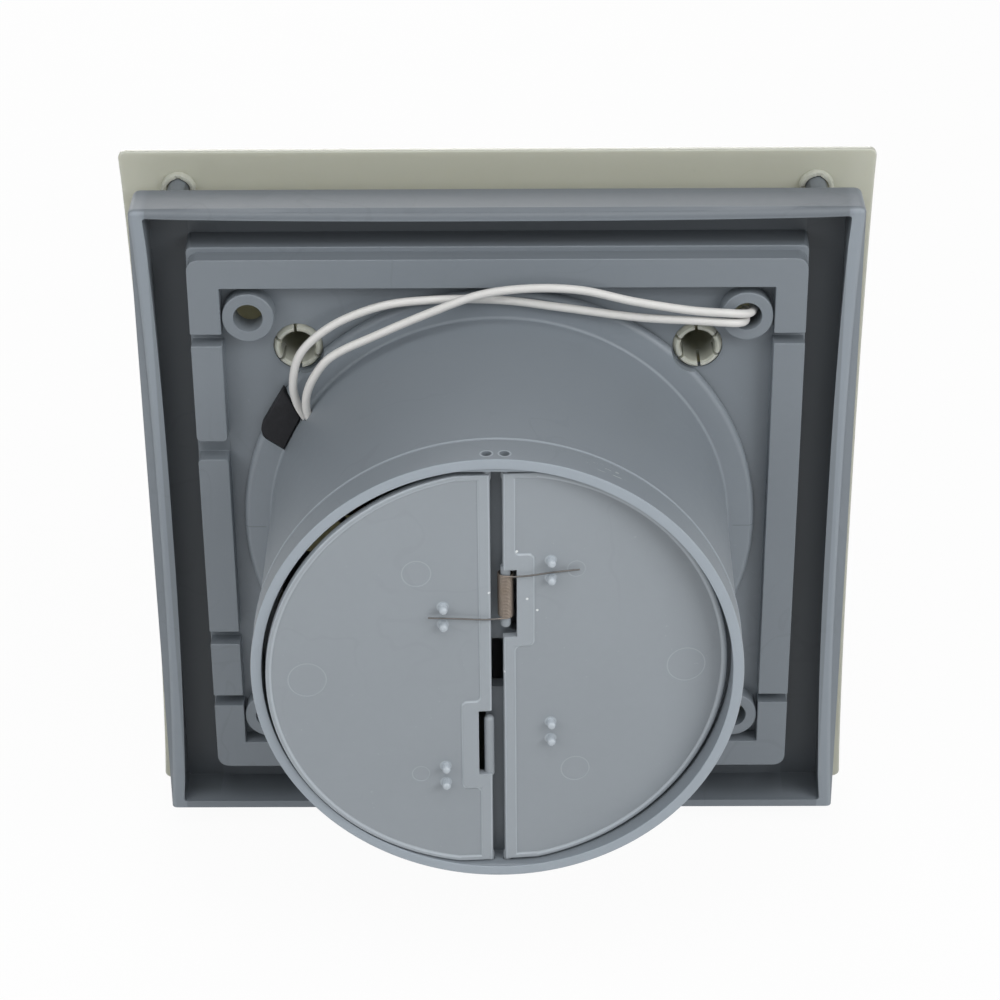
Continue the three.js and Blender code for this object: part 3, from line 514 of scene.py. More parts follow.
def smooth_route(points: Sequence[Point], per_span: int) -> list[Vector]:
    """Points on a centripetal Catmull-Rom curve, as the solids' wires follow.

    Args:
        points: The route's chosen points, in millimetres.
        per_span: How many steps there are between two of them.

    Returns:
        The points on the curve, in metres.
    """
    knots = [Vector(point) for point in points]
    knots = [2 * knots[0] - knots[1], *knots, 2 * knots[-1] - knots[-2]]
    route = []
    for i in range(1, len(knots) - 2):
        p = knots[i - 1 : i + 3]
        t = [0.0]
        for first, second in zip(p, p[1:]):
            t.append(t[-1] + math.sqrt((second - first).length))

        def between(now: float, low: int, high: int, first: Vector, second: Vector) -> Vector:
            """The place between two points whose times are t[low] and t[high]."""
            return ((t[high] - now) * first + (now - t[low]) * second) / (t[high] - t[low])

        for k in range(per_span):
            now = t[1] + (t[2] - t[1]) * k / per_span
            a = [between(now, n, n + 1, p[n], p[n + 1]) for n in range(3)]
            b = [between(now, n, n + 2, a[n], a[n + 1]) for n in range(2)]
            route.append(between(now, 1, 2, b[0], b[1]) * MM)
    route.append(knots[-2] * MM)
    return route


def wire_curve(
    name: str, route: Sequence[Vector], diameter: float, resolution: int = 5
) -> Object:
    """A round wire as a curve of one open spline.

    Args:
        name: The object's name.
        route: The wire's middle line, in metres.
        diameter: Its diameter, in millimetres.
        resolution: How round its section is.

    Returns:
        The curve object.
    """
    curve = bpy.data.curves.new(name, "CURVE")
    curve.dimensions = "3D"
    curve.bevel_depth = 1.0  # the points' radii then are the wire's own
    curve.bevel_resolution = resolution
    curve.use_fill_caps = True
    spline = curve.splines.new("POLY")
    spline.points.add(len(route) - 1)
    for point, place in zip(spline.points, route):
        point.co = (*place, 1)
        point.radius = diameter * MM / 2
    return linked(name, curve)


def as_mesh(piece: Object) -> Object:
    """Turns a curve object into a smooth mesh.

    Args:
        piece: The curve object.

    Returns:
        The mesh object.
    """
    select_only(piece)
    bpy.ops.object.convert(target="MESH")
    bpy.ops.object.shade_smooth()
    return bpy.context.view_layer.objects.active


# ------------------------------------------------------------------------------------ shader maths


class Signal:
    """One output of a shader node, with arithmetic that adds Math nodes."""

    def __init__(self, graph: "Graph", socket: bpy.types.NodeSocket | None) -> None:
        """Wraps an output socket of a graph."""
        self.graph = graph
        self.socket = socket

    def __add__(self, other: "Signal | float") -> "Signal":
        """self + other"""
        return self.graph.calc("ADD", self, other)

    def __sub__(self, other: "Signal | float") -> "Signal":
        """self - other"""
        return self.graph.calc("SUBTRACT", self, other)

    def __rsub__(self, other: float) -> "Signal":
        """other - self"""
        return self.graph.calc("SUBTRACT", other, self)

    def __mul__(self, other: "Signal | float") -> "Signal":
        """self * other"""
        return self.graph.calc("MULTIPLY", self, other)

    def __pow__(self, other: float) -> "Signal":
        """self ** other"""
        return self.graph.calc("POWER", self, other)

    def __abs__(self) -> "Signal":
        """abs(self)"""
        return self.graph.calc("ABSOLUTE", self)

    def root(self) -> "Signal":
        """The square root."""
        return self.graph.calc("SQRT", self)

    def most(self, other: "Signal | float") -> "Signal":
        """The larger of two values."""
        return self.graph.calc("MAXIMUM", self, other)

    def ramp(self, low: float, high: float) -> "Signal":
        """0 below low, 1 above high and smooth between them.

        Args:
            low: Where it leaves 0.
            high: Where it reaches 1.

        Returns:
            The new value.
        """
        return self.graph.node(
            "ShaderNodeMapRange",
            {"interpolation_type": "SMOOTHSTEP", "clamp": True},
            {"Value": self, "From Min": low, "From Max": high},
        )

    def band(self, middle: float, half: float, soft: float) -> "Signal":
        """1 within a half width of the middle, falling to 0 over a soft edge."""
        return 1 - abs(self - middle).ramp(half, half + soft)


class Graph:
    """A material's node tree, built from values and links."""

    def __init__(self, name: str, tree: bpy.types.NodeTree | None = None) -> None:
        """Makes an empty material of that name, or empties a tree that is given.

        Args:
            name: The material's name.
            tree: The tree to use in place of a new material, or None.
        """
        if tree is None:
            self.material = bpy.data.materials.new(name)
            self.material.use_nodes = True
            tree = self.material.node_tree
        self.tree = tree
        self.tree.nodes.clear()

    def node(
        self,
        kind: str,
        settings: dict[str, object] | None = None,
        sockets: dict[str | int, object] | None = None,
        output: str | int = 0,
    ) -> Signal:
        """Adds a node, with its settings first and then its sockets.

        Args:
            kind: The node's type.
            settings: Properties of the node.
            sockets: A value or a link for each input, by name or number.
            output: The output that is wanted.

        Returns:
            That output.
        """
        made = self.tree.nodes.new(kind)
        for name, value in (settings or {}).items():
            setattr(made, name, value)
        for name, value in (sockets or {}).items():
            if isinstance(value, Signal):
                self.tree.links.new(value.socket, made.inputs[name])
            else:
                made.inputs[name].default_value = value
        return Signal(self, made.outputs[output] if len(made.outputs) else None)

    def calc(self, operation: str, *values: Signal | float) -> Signal:
        """A Math node on one or two values."""
        return self.node("ShaderNodeMath", {"operation": operation}, dict(enumerate(values)))

    def place(self) -> Signal:
        """Object coordinates, in metres."""
        return self.node("ShaderNodeTexCoord", output="Object")

    def along(self) -> tuple[Signal, Signal, Signal]:
        """The three object coordinates, in millimetres."""
        split = self.node("ShaderNodeSeparateXYZ", None, {"Vector": self.place()})
        outputs = split.socket.node.outputs
        return tuple(Signal(self, outputs[i]) * 1000.0 for i in range(3))

    def stretched(self, scale: Point, place: Signal | None = None) -> Signal:
        """Object coordinates, or another place, scaled along each axis."""
        sockets = {"Vector": place or self.place(), "Scale": scale}
        return self.node("ShaderNodeMapping", None, sockets)

    def noise(
        self,
        scale: float,
        detail: float = 2.0,
        roughness: float = 0.5,
        place: Signal | None = None,
    ) -> Signal:
        """Noise from 0 to 1, with a scale in features a metre.

        Args:
            scale: Its features a metre.
            detail: How many finer layers it has.
            roughness: How strong those are.
            place: Where it is looked up, or None for the object coordinates.

        Returns:
            The noise.
        """
        sockets = {"Vector": place or self.place(), "Scale": scale}
        sockets |= {"Detail": detail, "Roughness": roughness}
        return self.node("ShaderNodeTexNoise", None, sockets)

    def blend(
        self, share: Signal | float, first: Signal | Colour, second: Signal | Colour
    ) -> Signal:
        """A colour between two colours.

        Args:
            share: The share of the second colour.
            first: The first colour.
            second: The second colour.

        Returns:
            The blended colour.
        """
        colours = [c if isinstance(c, Signal) else (*c, 1.0) for c in (first, second)]
        settings = {"data_type": "RGBA", "clamp_factor": True}
        sockets = {0: share, 6: colours[0], 7: colours[1]}
        return self.node("ShaderNodeMix", settings, sockets, output=2)

    def bump(self, height: Signal, depth: float, strength: float = 1.0) -> Signal:
        """A normal that follows a height of a given depth in millimetres."""
        sockets = {"Strength": strength, "Distance": depth * MM, "Height": height}
        return self.node("ShaderNodeBump", None, sockets)

    def shade(
        self, colour: Signal, rough: Signal, normal: Signal, **rest: float | Point
    ) -> Material:
        """Ends the material in a Principled shader.

        Args:
            colour: Its base colour.
            rough: Its roughness.
            normal: Its normal.
            rest: Uniform values of other sockets, with _ for the spaces in their names.

        Returns:
            The material.
        """
        sockets = {"Base Color": colour, "Roughness": rough, "Normal": normal}
        sockets |= {name.replace("_", " "): value for name, value in rest.items()}
        shader = self.node("ShaderNodeBsdfPrincipled", None, sockets)
        self.node("ShaderNodeOutputMaterial", None, {"Surface": shader})
        return self.material


def scaled(colour: Colour, factor: float) -> Colour:
    """A colour made darker or lighter by a factor."""
    return tuple(min(1.0, channel * factor) for channel in colour)


@dataclass(frozen=True)
class MouldedGrey:
    """Satin grey ABS with fine spark-eroded grain, faint flow lines and handling scuffs.

    Attributes:
        name: The material's name.
        colour: Its colour, linear.
        roughness: Its mean roughness.
        grain: The depth of its texture, in millimetres.
        flow: How dark its flow lines are.
        scuffs: How light its scuffs are.
        spigot_marks_and_highlights: Whether it has the spigot's weld lines and scratches, and its
            painted highlights round the pivot holes, on the band's lip and on the tube's end.
        studs: Where the studs on a flap are glossier and painted paler as a highlight, in X, Z and
            radius.
        flecks: Where pale burrs cling to a flap, in X, Z and radius.
        rings: The witness rings of a flap's ejector pins, painted paler as a highlight along their
            edges, in X, Z and radius.
        hinge: The flap's hinge in X and its turn from flat in degrees, to place the painted light
            on its raised border.
        painted_shade: How dark the painted shade in the trough round the raised plate is.
    """

    name: str
    colour: Colour
    roughness: float = 0.46
    grain: float = 0.012
    flow: float = 0.07
    scuffs: float = 0.10
    spigot_marks_and_highlights: bool = False
    studs: tuple[Point, ...] = ()
    flecks: tuple[Point, ...] = ()
    rings: tuple[Point, ...] = ()
    hinge: Place | None = None
    painted_shade: float = 0.0

    def flow_lines(self, graph: Graph) -> Signal:
        """The faint curved lines where the plastic's streams ran beside each other.

        Args:
            graph: The material's graph.

        Returns:
            1 on the lines and 0 elsewhere.
        """
        sockets = {"Vector": graph.place(), "Scale": 24.0}
        swirl = graph.node("ShaderNodeTexNoise", None, sockets, "Color")
        sockets = {0: swirl, 1: (0.030, 0.030, 0.030), 2: graph.place()}
        warp = graph.node("ShaderNodeVectorMath", {"operation": "MULTIPLY_ADD"}, sockets)
        streams = graph.noise(1.0, 2, 0.5, graph.stretched((46, 60, 46), warp))
        return streams.band(0.5, 0.004, 0.010) * graph.noise(15, 1).ramp(0.47, 0.60)

    def tinted(self, graph: Graph, share: Signal, colour: Signal, factor: float) -> Signal:
        """The colour, blended by a share towards the finish's own colour times a factor."""
        return graph.blend(share, colour, scaled(self.colour, factor))

    def mark_and_light_spigot(self, graph: Graph, colour: Signal) -> Signal:
        """Adds the flange's weld lines and the scratches on the band, and paints highlights round
        the pivot holes, on the band's lip and on the tube's end.

        Args:
            graph: The material's graph.
            colour: The colour so far.

        Returns:
            The marked colour.
        """
        x, y, z = graph.along()
        weld = z.band(-0.75, 0.05, 0.16) * abs(x).ramp(50.6, 51.2) * (1 - y.ramp(0, 1))
        colour = self.tinted(graph, weld * 0.55, colour, 0.55)
        # Painted highlight round the pivot holes.
        away = ((abs(x) - HINGE_X) ** 2 + (y - HINGE_Y) ** 2).root()
        ring = away.band(1.2, 0.06, 0.16) * abs(z).ramp(47.6, 48.6)
        colour = self.tinted(graph, ring * 0.45, colour, 2.2)
        # Painted highlight on the band's lip and on the tube's end rim.
        lip = y.band(51.05, 0.1, 0.12) * (x**2 + z**2).root().ramp(48.9, 49.1)
        end = y.ramp(59.2, 59.38)
        colour = self.tinted(graph, lip * 0.5 + end * 0.75, colour, 1.65)
        away = ((x + 21.5) ** 2 + ((y - 54.8) * 2.2) ** 2).root()
        spot = (1 - away.ramp(1.5, 4.5)) * z.ramp(20, 30)
        hairs = graph.noise(1.0, 3, 0.65, graph.stretched((300, 1500, 500))).ramp(0.57, 0.63)
        return graph.blend(spot * hairs * 0.75, colour, (0.62, 0.66, 0.68))

    def spots(self, graph: Graph, places: Sequence[Point], rings: bool = False) -> Signal:
        """1 on each of the discs, or thin rings, in X, Z and radius, and 0 elsewhere.

        Args:
            graph: The material's graph.
            places: The discs or rings.
            rings: Whether they are rings.

        Returns:
            The mask.
        """
        x, _, z = graph.along()
        masks = []
        for spot_x, spot_z, radius in places:
            away = ((x - spot_x) ** 2 + (z - spot_z) ** 2).root()
            disc = away.band(radius, 0.06, 0.12) if rings else 1 - away.ramp(radius, radius * 1.35)
            masks.append(disc)
        return reduce(Signal.most, masks)

    def paint_border_light(self, graph: Graph, colour: Signal) -> Signal:
        """Paints light on a flap's raised border: a little paler over it, and a paler highlight on
        its inner slope.

        Args:
            graph: The material's graph.
            colour: The colour so far.

        Returns:
            The new colour.
        """
        x, y, _ = graph.along()
        place, degrees = self.hinge
        turn = math.radians(degrees)
        out = (x * math.copysign(1.0, place) - abs(place)) * math.sin(turn)
        height = (y - HINGE_Y) * math.cos(turn) - out
        # Painted highlight on the raised border, brightest on its inner slope.
        raised = height.ramp(1.10, 1.25)
        slope = height.band(1.17, 0.06, 0.05)
        return self.tinted(graph, raised * 0.16 + slope * 0.35, colour, 1.9)

    def paint_trough_shade(self, graph: Graph, colour: Signal) -> Signal:
        """Paints shade into the trough round the raised plate and onto the skirt's top, and paints
        highlight on the rim's left and right faces.

        Args:
            graph: The material's graph.
            colour: The colour so far.

        Returns:
            The new colour.
        """
        x, y, z = graph.along()
        reach = abs(x).most(abs(z))
        # Painted shade in the trough: stronger deeper down and in the side troughs, weaker at the
        # bottom.
        depth = 1 - y.ramp(-7.0, -1.6)
        sides = abs(x).ramp(64.8, 65.0) * 0.26 + 0.84
        mask = reach.ramp(64.82, 64.98) * (1 - reach.ramp(73.0, 73.4)) * depth * sides
        lower = z.ramp(-74.0, -64.0) * 0.3 + 0.7
        # Painted highlight on the rim's left and right faces.
        wear_and_highlight = abs(x).ramp(72.2, 72.6) * y.ramp(-1.3, -0.9)
        colour = self.tinted(graph, wear_and_highlight * 0.30, colour, 2.2)
        # Painted shade on the skirt's top wall.
        shaded_top = z.ramp(72.2, 73.2) * (1 - abs(x).ramp(72.0, 74.0))
        colour = self.tinted(graph, shaded_top * 0.32, colour, 0.30)
        return self.tinted(graph, mask * lower * self.painted_shade, colour, 0.12)

    def material(self) -> Material:
        """The node material of this finish.

        Returns:
            The material.
        """
        graph = Graph(self.name)
        mottle = graph.noise(24, 3, 0.6)
        broad = graph.noise(9, 1, 0.5)
        fine = graph.noise(520, 2, 0.5)
        line = self.flow_lines(graph)
        streaks = graph.noise(1.0, 4, 0.7, graph.stretched((45, 120, 420))).ramp(0.66, 0.80)
        scuff = streaks * graph.noise(14, 1).ramp(0.52, 0.66)
        specks = graph.noise(1300, 1, 0.5).ramp(0.76, 0.80)
        shade = (mottle - 0.5) * 0.13 + (broad - 0.5) * 0.10 + (fine - 0.5) * 0.05
        shade = shade + scuff * self.scuffs + specks * 0.12 - line * self.flow
        colour = graph.blend(shade + 0.5, scaled(self.colour, 0.62), scaled(self.colour, 1.38))
        rough = (mottle - 0.5) * 0.10 + scuff * 0.12 + (fine - 0.5) * 0.08 + self.roughness
        if self.spigot_marks_and_highlights:
            colour = self.mark_and_light_spigot(graph, colour)
        if self.painted_shade:
            colour = self.paint_trough_shade(graph, colour)
        if self.hinge:
            colour = self.paint_border_light(graph, colour)
        if self.studs:
            mask = self.spots(graph, self.studs)
            # Painted highlight: the studs are made paler; their lower roughness is real gloss.
            colour = self.tinted(graph, mask * 0.6, colour, 1.9)
            rough = rough - mask * 0.24
        if self.rings:
            mask = self.spots(graph, self.rings, rings=True)
            # Painted highlight along the witness rings' edges.
            colour = self.tinted(graph, mask * 0.35, colour, 1.6)
        if self.flecks:
            colour = graph.blend(self.spots(graph, self.flecks), colour, (0.66, 0.69, 0.70))
        height = graph.noise(2600, 2, 0.6) + fine * 0.4 - line * 0.6
        normal = graph.bump(height, self.grain)
        return graph.shade(colour, rough, normal, Specular_IOR_Level=0.42)


@dataclass(frozen=True)
class PanelIvory:
    """The front panel's pale, slightly green ivory plastic, glossier than the housing."""

    name: str = "panel_ivory"
    colour: Colour = (0.42, 0.43, 0.375)
    roughness: float = 0.34
    dust: Colour = (0.25, 0.25, 0.22)
    reach: Point = (0.005, 0.0048, 0.0043)

    def material(self) -> Material:
        """The node material of this finish.

        Returns:
            The material.
        """
        graph = Graph(self.name)
        cloud = graph.noise(16, 3, 0.55)
        dust = graph.noise(900, 2, 0.5).ramp(0.70, 0.78)
        share = (cloud - 0.5) * 0.25 + 0.5
        colour = graph.blend(share, scaled(self.colour, 0.93), scaled(self.colour, 1.07))
        return graph.shade(
            graph.blend(dust * 0.10, colour, self.dust),
            (cloud - 0.5) * 0.10 + self.roughness,
            graph.bump(graph.noise(700, 2), 0.006),
            Specular_IOR_Level=0.5,
            Subsurface_Weight=0.6,
            Subsurface_Radius=self.reach,
            Subsurface_Scale=1.0,
        )


@dataclass(frozen=True)
class Insulation:
    """Smooth wire insulation with a faint drawn streak and a little grime."""

    name: str = "wire_insulation"
    colour: Colour = (0.64, 0.635, 0.62)
    grime: Colour = (0.38, 0.36, 0.32)

    def material(self) -> Material:
        """The node material of this finish.

        Returns:
            The material.
        """
        graph = Graph(self.name)
        smear = graph.noise(120, 4, 0.6).ramp(0.58, 0.78)
        soft = graph.noise(340, 2)
        return graph.shade(
            graph.blend(smear * 0.22, self.colour, self.grime),
            (soft - 0.5) * 0.12 + 0.42,
            graph.bump(soft + graph.noise(1400, 1) * 0.3, 0.02),
        )


@dataclass(frozen=True)
class Rubber:
    """Matt black rubber with cut-edge grain and a trace of mould dust."""

    name: str = "seal_rubber"
    colour: Colour = (0.0078, 0.0082, 0.0105)
    dust: Colour = (0.045, 0.047, 0.056)

    def material(self) -> Material:
        """The node material of this finish.

        Returns:
            The material.
        """
        graph = Graph(self.name)
        cloud = graph.noise(240, 4, 0.65).ramp(0.5, 0.85)
        return graph.shade(
            graph.blend(cloud * 0.3, self.colour, self.dust),
            graph.noise(600, 2) * 0.2 + 0.6,
            graph.bump(graph.noise(1800, 3, 0.6), 0.05),
            Specular_IOR_Level=0.35,
        )


class Lay(Enum):
    """The pattern that a metal surface carries."""

    DRAWN = "drawn"
    STACKED = "stacked"
    WOUND = "wound"
    PLATED = "plated"


@dataclass(frozen=True)
class Metal:
    """A metal with the marks of how it was made, and a darker colour on a spring's legs as painted
    shade.
    """

    name: str
    colour: Colour
    lay: Lay
    roughness: float = 0.34
    legs: Colour | None = None
    tint: Colour = (0.20, 0.15, 0.10)

    def marks(self, graph: Graph, along: Sequence[Signal], cloud: Signal) -> Signal:
        """The pattern of the metal's lay.

        Args:
            graph: The material's graph.
            along: The object coordinates, in millimetres.
            cloud: A broad noise that makes windings uneven.

        Returns:
            The pattern, from 0 in its grooves to 1.
        """
        _, y, z = along
        if self.lay is Lay.DRAWN:
            return graph.noise(1.0, 2, 0.5, graph.stretched((2600, 2600, 500)))
        if self.lay is Lay.STACKED:
            return graph.calc("FRACT", y * 2.0).ramp(0.06, 0.22)
        if self.lay is Lay.WOUND:
            return graph.calc("SINE", z * 19.0 + cloud * 3.0) * 0.5 + 0.5
        return graph.noise(1100, 2, 0.5)

    def material(self) -> Material:
        """The node material of this finish.

        Returns:
            The material.
        """
        graph = Graph(self.name)
        x, y, z = graph.along()
        cloud = graph.noise(150, 3, 0.6)
        marks = self.marks(graph, (x, y, z), cloud)
        wear_and_highlight = (cloud - 0.35).ramp(0.1, 0.4)
        colour = graph.blend(wear_and_highlight * 0.35, self.colour, self.tint)
        colour = graph.blend((1 - marks) * 0.35, colour, scaled(self.colour, 0.35))
        if self.legs:
            # Painted shade: the spring's legs, away from the coil, take the darker colour.
            away = ((x + HINGE_X) ** 2 + (y - HINGE_Y) ** 2).root().ramp(1.75, 2.6)
            colour = graph.blend(away, colour, self.legs)
        return graph.shade(
            colour,
            (1 - marks) * 0.14 + cloud * 0.1 + self.roughness,
            graph.bump(marks, 0.03, 0.7),
            Metallic=0.35 if self.lay is Lay.WOUND else 1.0,
        )


@dataclass(frozen=True)
class PlainPlastic:
    """Smooth moulded plastic of a small inner piece."""

    name: str
    colour: Colour
    roughness: float = 0.4

    def material(self) -> Material:
        """The node material of this finish.

        Returns:
            The material.
        """
        graph = Graph(self.name)
        cloud = graph.noise(80, 3, 0.6)
        return graph.shade(
            graph.blend(cloud, scaled(self.colour, 0.88), scaled(self.colour, 1.12)),
            (cloud - 0.5) * 0.14 + self.roughness,
            graph.bump(graph.noise(1500, 2), 0.01),
        )


ABS_GREY: Colour = (0.185, 0.210, 0.235)
# The flaps' grey is the housing's made lighter: partly a lighter moulding, partly painted light
# where they face the lamps.
FLAP_GREY_LIT: Colour = (0.262, 0.290, 0.316)
# The housing's finish carries painted shade in its trough and on the skirt's top, and painted
# highlight on the rim's sides.
HOUSING = MouldedGrey("housing_grey", ABS_GREY, painted_shade=0.55)
# The spigot's grey is the housing's made a little lighter: painted light on its tube, which faces
# up.
SPIGOT = MouldedGrey("spigot_grey", scaled(ABS_GREY, 1.12), spigot_marks_and_highlights=True, flow=0.05)
IMPELLER = MouldedGrey("impeller_grey", (0.33, 0.36, 0.38), 0.4, flow=0.02, scuffs=0.04)
# The spring's legs get a darker colour than its coil as painted shade.
SPRING = Metal("spring_wire", (0.24, 0.205, 0.175), Lay.DRAWN, 0.4, (0.13, 0.125, 0.12))


def dress(piece: Object, material: Material) -> None:
    """Gives every face of a piece one material."""
    piece.data.materials.clear()
    piece.data.materials.append(material)


# ------------------------------------------------------------------------------------ housing


@dataclass
class Housing:
    """The tray with its skirt, raised plate, rib frame, bosses and posts."""

    width: float = 151.8
    height: float = 149.4
    inner: float = 145.8
    front: float = -13.4
    rim: float = -0.6
    floor: float = -11.6
    front_radius: float = 2.6
    corner_radius: float = 1.2
    side_bow: float = 1.75
    top_bow: float = 0.8
    plateau: float = 130.4
    draft: float = 0.35
    plate_rear: float = -4.2
    plate_front: float = -6.4
    recess: float = 126.4
    frame_width: float = 129.0
    frame_height: float = 126.6
    frame_lift: float = 0.5
    rib: float = 6.6
    gaps: tuple[tuple[int, float, float], ...] = (
        (1, 45.3, 2.7),
        (1, 19.1, 4.4),
        (1, -28.3, 3.2),
        (1, -44.9, 2.7),
        (-1, 45.4, 2.4),
        (-1, -44.6, 2.2),
    )
    boss: Point = (52.2, 49.8, 5.5)
    boss_face: float = -0.4
    boss_hole: float = 3.05
    peg_hole: Point = (42.2, 42.0, 5.25)
    inlet: float = 47.5
    post: Point = (67.3, 71.5, 2.35)
    panel_rear: float = -19.9
    mount_radius: float = 57.5
    arm_rear: float = -11.5
    arm_pillar: float = 3.2
    clamp_x: Place = (-60.3, -50.3)
    clamp_z: float = -16.0
    clamp_low: float = -11.5
    clamp_pillar: float = 2.7
    block_at: Place = (-55.3, 20.0)
    screw: Point = (1.7, -15.0, 9.9)
    edge_soft: float = 0.28
    bow_step: float = 6.0
    bow_band: float = 6.2
    plate_soft: float = 0.3
    rib_corner: float = 2.6
    rib_soft: float = 0.42
    gap_round: float = 1.0
    boss_soft: float = 0.35
    mouth_soft: float = 0.22

    def tray(self) -> Object:
        """The outer tray with soft front edges, hollow from behind.

        Returns:
            The tray.
        """
        half_x, half_z, half = self.width / 2, self.height / 2, self.inner / 2
        low = (-half_x, self.front, -half_z)
        tray = block("housing_moulding", low, (half_x, self.rim, half_z))
        at_front = lambda a, b: max(a.y, b.y) < self.front + 0.01
        round_edges(tray, at_front, self.front_radius, 7)

        def mitre(p: Vector) -> bool:
            """Whether a point lies on a corner's mitre, near the outside."""
            in_x, in_z = half_x - abs(p.x), half_z - abs(p.z)
            return abs(in_x - in_z) < 0.05 and in_x < self.front_radius * 1.05

        for side, radius in ((1, self.corner_radius), (-1, self.corner_radius * 0.6)):
            at_corner = lambda a, b: mitre(a) and mitre(b) and a.z * side > 0
            round_edges(tray, at_corner, radius, 5)
        hollow = block("hollow", (-half, self.floor, -half), (half, 2.0, half))
        round_edges(hollow, longer(5), self.corner_radius / 2, 4)
        meet(tray, Join.CUT, hollow)
        soften(tray, self.edge_soft, 3)
        self.bow_rim(tray)
        return tray

    def bow_rim(self, tray: Object) -> None:
        """Draws the skirt's rear edge in at the middle of its sides, as it shrank in the mould.

        Args:
            tray: The tray, which is changed.
        """
        edit(tray)
        columns = [step * self.bow_step for step in range(-11, 12)]
        for axis in (0, 2):
            slice_up(axis, columns)
        bpy.ops.mesh.select_mode(type="VERT")
        for across, side, size, bow in (
            (0, 1, self.width, self.side_bow),
            (0, -1, self.width, self.side_bow),
            (2, 1, self.height, self.top_bow),
        ):
            beyond = (size / 2 - self.bow_band, self.rim - 1.0)
            draw_in(tray, across, side, columns, beyond, (bow, 75.0))
        select_only(tray)

    def raised_plate(self) -> Object:
        """The raised plate's block, with a little draft on its sides.

        Returns:
            The block.
        """
        half = self.plateau / 2
        plate = block("plate", (-half, self.front, -half), (half, self.plate_rear, half))
        round_edges(plate, longer(5), self.corner_radius, 4)
        edit(plate)
        pick(plate, lambda p: p.y > self.plate_rear - 0.01)
        taper = (half - self.draft) / half
        bpy.ops.transform.resize(value=(taper, 1, taper), center_override=(0, 0, 0))
        select_only(plate)
        return soften(plate, self.plate_soft, 3)

    def frame_block(self, name: str, inset: float, low: float, high: float) -> Object:
        """A block of the rib frame's outline.

        Args:
            name: The object's name.
            inset: How far it keeps inside the outline.
            low: Its lowest place in Y.
            high: Its highest place in Y.

        Returns:
            The block.
        """
        x, z = self.frame_width / 2 - inset, self.frame_height / 2 - inset
        return block(name, (-x, low, self.frame_lift - z), (x, high, self.frame_lift + z))

    def rib_frame(self) -> Object:
        """The frame of ribs that bears on the wall, with its gaps.

        Returns:
            The frame.
        """
        low = self.plate_rear - 0.6
        ribs = self.frame_block("ribs", 0.0, low, 0.0)
        round_edges(ribs, longer(3), self.rib_corner, 8)
        inside = self.frame_block("inside", self.rib, low - 1, 1.0)
        slots = []
        for side, z, wide in self.gaps:
            x = side * (self.frame_width / 2 - self.rib / 2)
            start = (x - self.rib, self.plate_rear + 0.05, z - wide / 2)
            slots.append(block("slot", start, (x + self.rib, 1.0, z + wide / 2)))
        meet(ribs, Join.CUT, inside, combine(slots))
        ends = [z + end * wide / 2 for _, z, wide in self.gaps if wide > 4 for end in (1, -1)]
        at_end = lambda p: min(abs(p.z - z) for z in ends) < 0.05
        at_gap = lambda a, b: longer(3)(a, b) and at_end(a) and at_end(b)
        round_edges(ribs, at_gap, self.gap_round, 5)
        return soften(ribs, self.rib_soft, 3)

    def build(self) -> Object:
        """Models the whole housing.

        Returns:
            The finished piece.
        """
        housing = self.tray()
        half, front, radius = self.recess / 2, self.plate_front, self.mount_radius
        recess = block("recess", (-half, self.front - 1, -half), (half, front, half))
        round_edges(recess, longer(5), 0.8, 3)
        meet(housing, Join.ADD, self.raised_plate())
        meet(housing, Join.CUT, recess)
        boss_places = four(self.boss[0], self.boss[1], self.frame_lift)
        arms = [(radius, 0.0), (0.0, radius), (-radius, 0.0), (0.0, -radius)]
        clamps = [(x, self.clamp_z) for x in self.clamp_x]
        low = self.plate_rear - 0.6
        bars = drums("boss", self.boss[2], boss_places, low, self.boss_face - low, 72)
        bars = [soften(boss, self.boss_soft, 3) for boss in bars]
        posts = four(self.post[0], self.post[1])
        length = self.front - self.panel_rear + 0.5
        bars += drums("post", self.post[2], posts, self.panel_rear + 0.3, length, 40)
        length = front - self.arm_rear + 0.3
        bars += drums("pillar", self.arm_pillar, arms, self.arm_rear + 0.3, length, 32)
        length = front - self.clamp_low + 0.6
        bars += drums("pillar", self.clamp_pillar, clamps, self.clamp_low, length, 32)
        meet(housing, Join.ADD, self.rib_frame(), combine(bars))
        pegs = four(self.peg_hole[0], self.peg_hole[1])
        screw, screw_front, screw_depth = self.screw
        holes = drums("hole", self.boss_hole, boss_places, front - 1, 8.0, 64)
        holes += drums("hole", self.peg_hole[2], pegs, front - 1, 4.0, 64)
        holes += drums("hole", self.inlet, [(0, 0)], front - 1, 4.0, 128)
        screws = arms + clamps + [self.block_at]
        holes += drums("hole", screw, screws, screw_front, screw_depth, 24)
        meet(housing, Join.CUT, combine(holes))
        round_edges(housing, self.at_boss_mouth, self.mouth_soft, 2)
        return polish(housing)

    def at_boss_mouth(self, a: Vector, b: Vector) -> bool:
        """Whether an edge lies on the rim of a fixing hole."""
        on_face = max(abs(a.y - self.boss_face), abs(b.y - self.boss_face)) < 0.02
        away = math.hypot(abs(a.x) - self.boss[0], abs(a.z - self.frame_lift) - self.boss[1])
        return on_face and away < self.boss_hole + 0.1


# ------------------------------------------------------------------------------------ panel


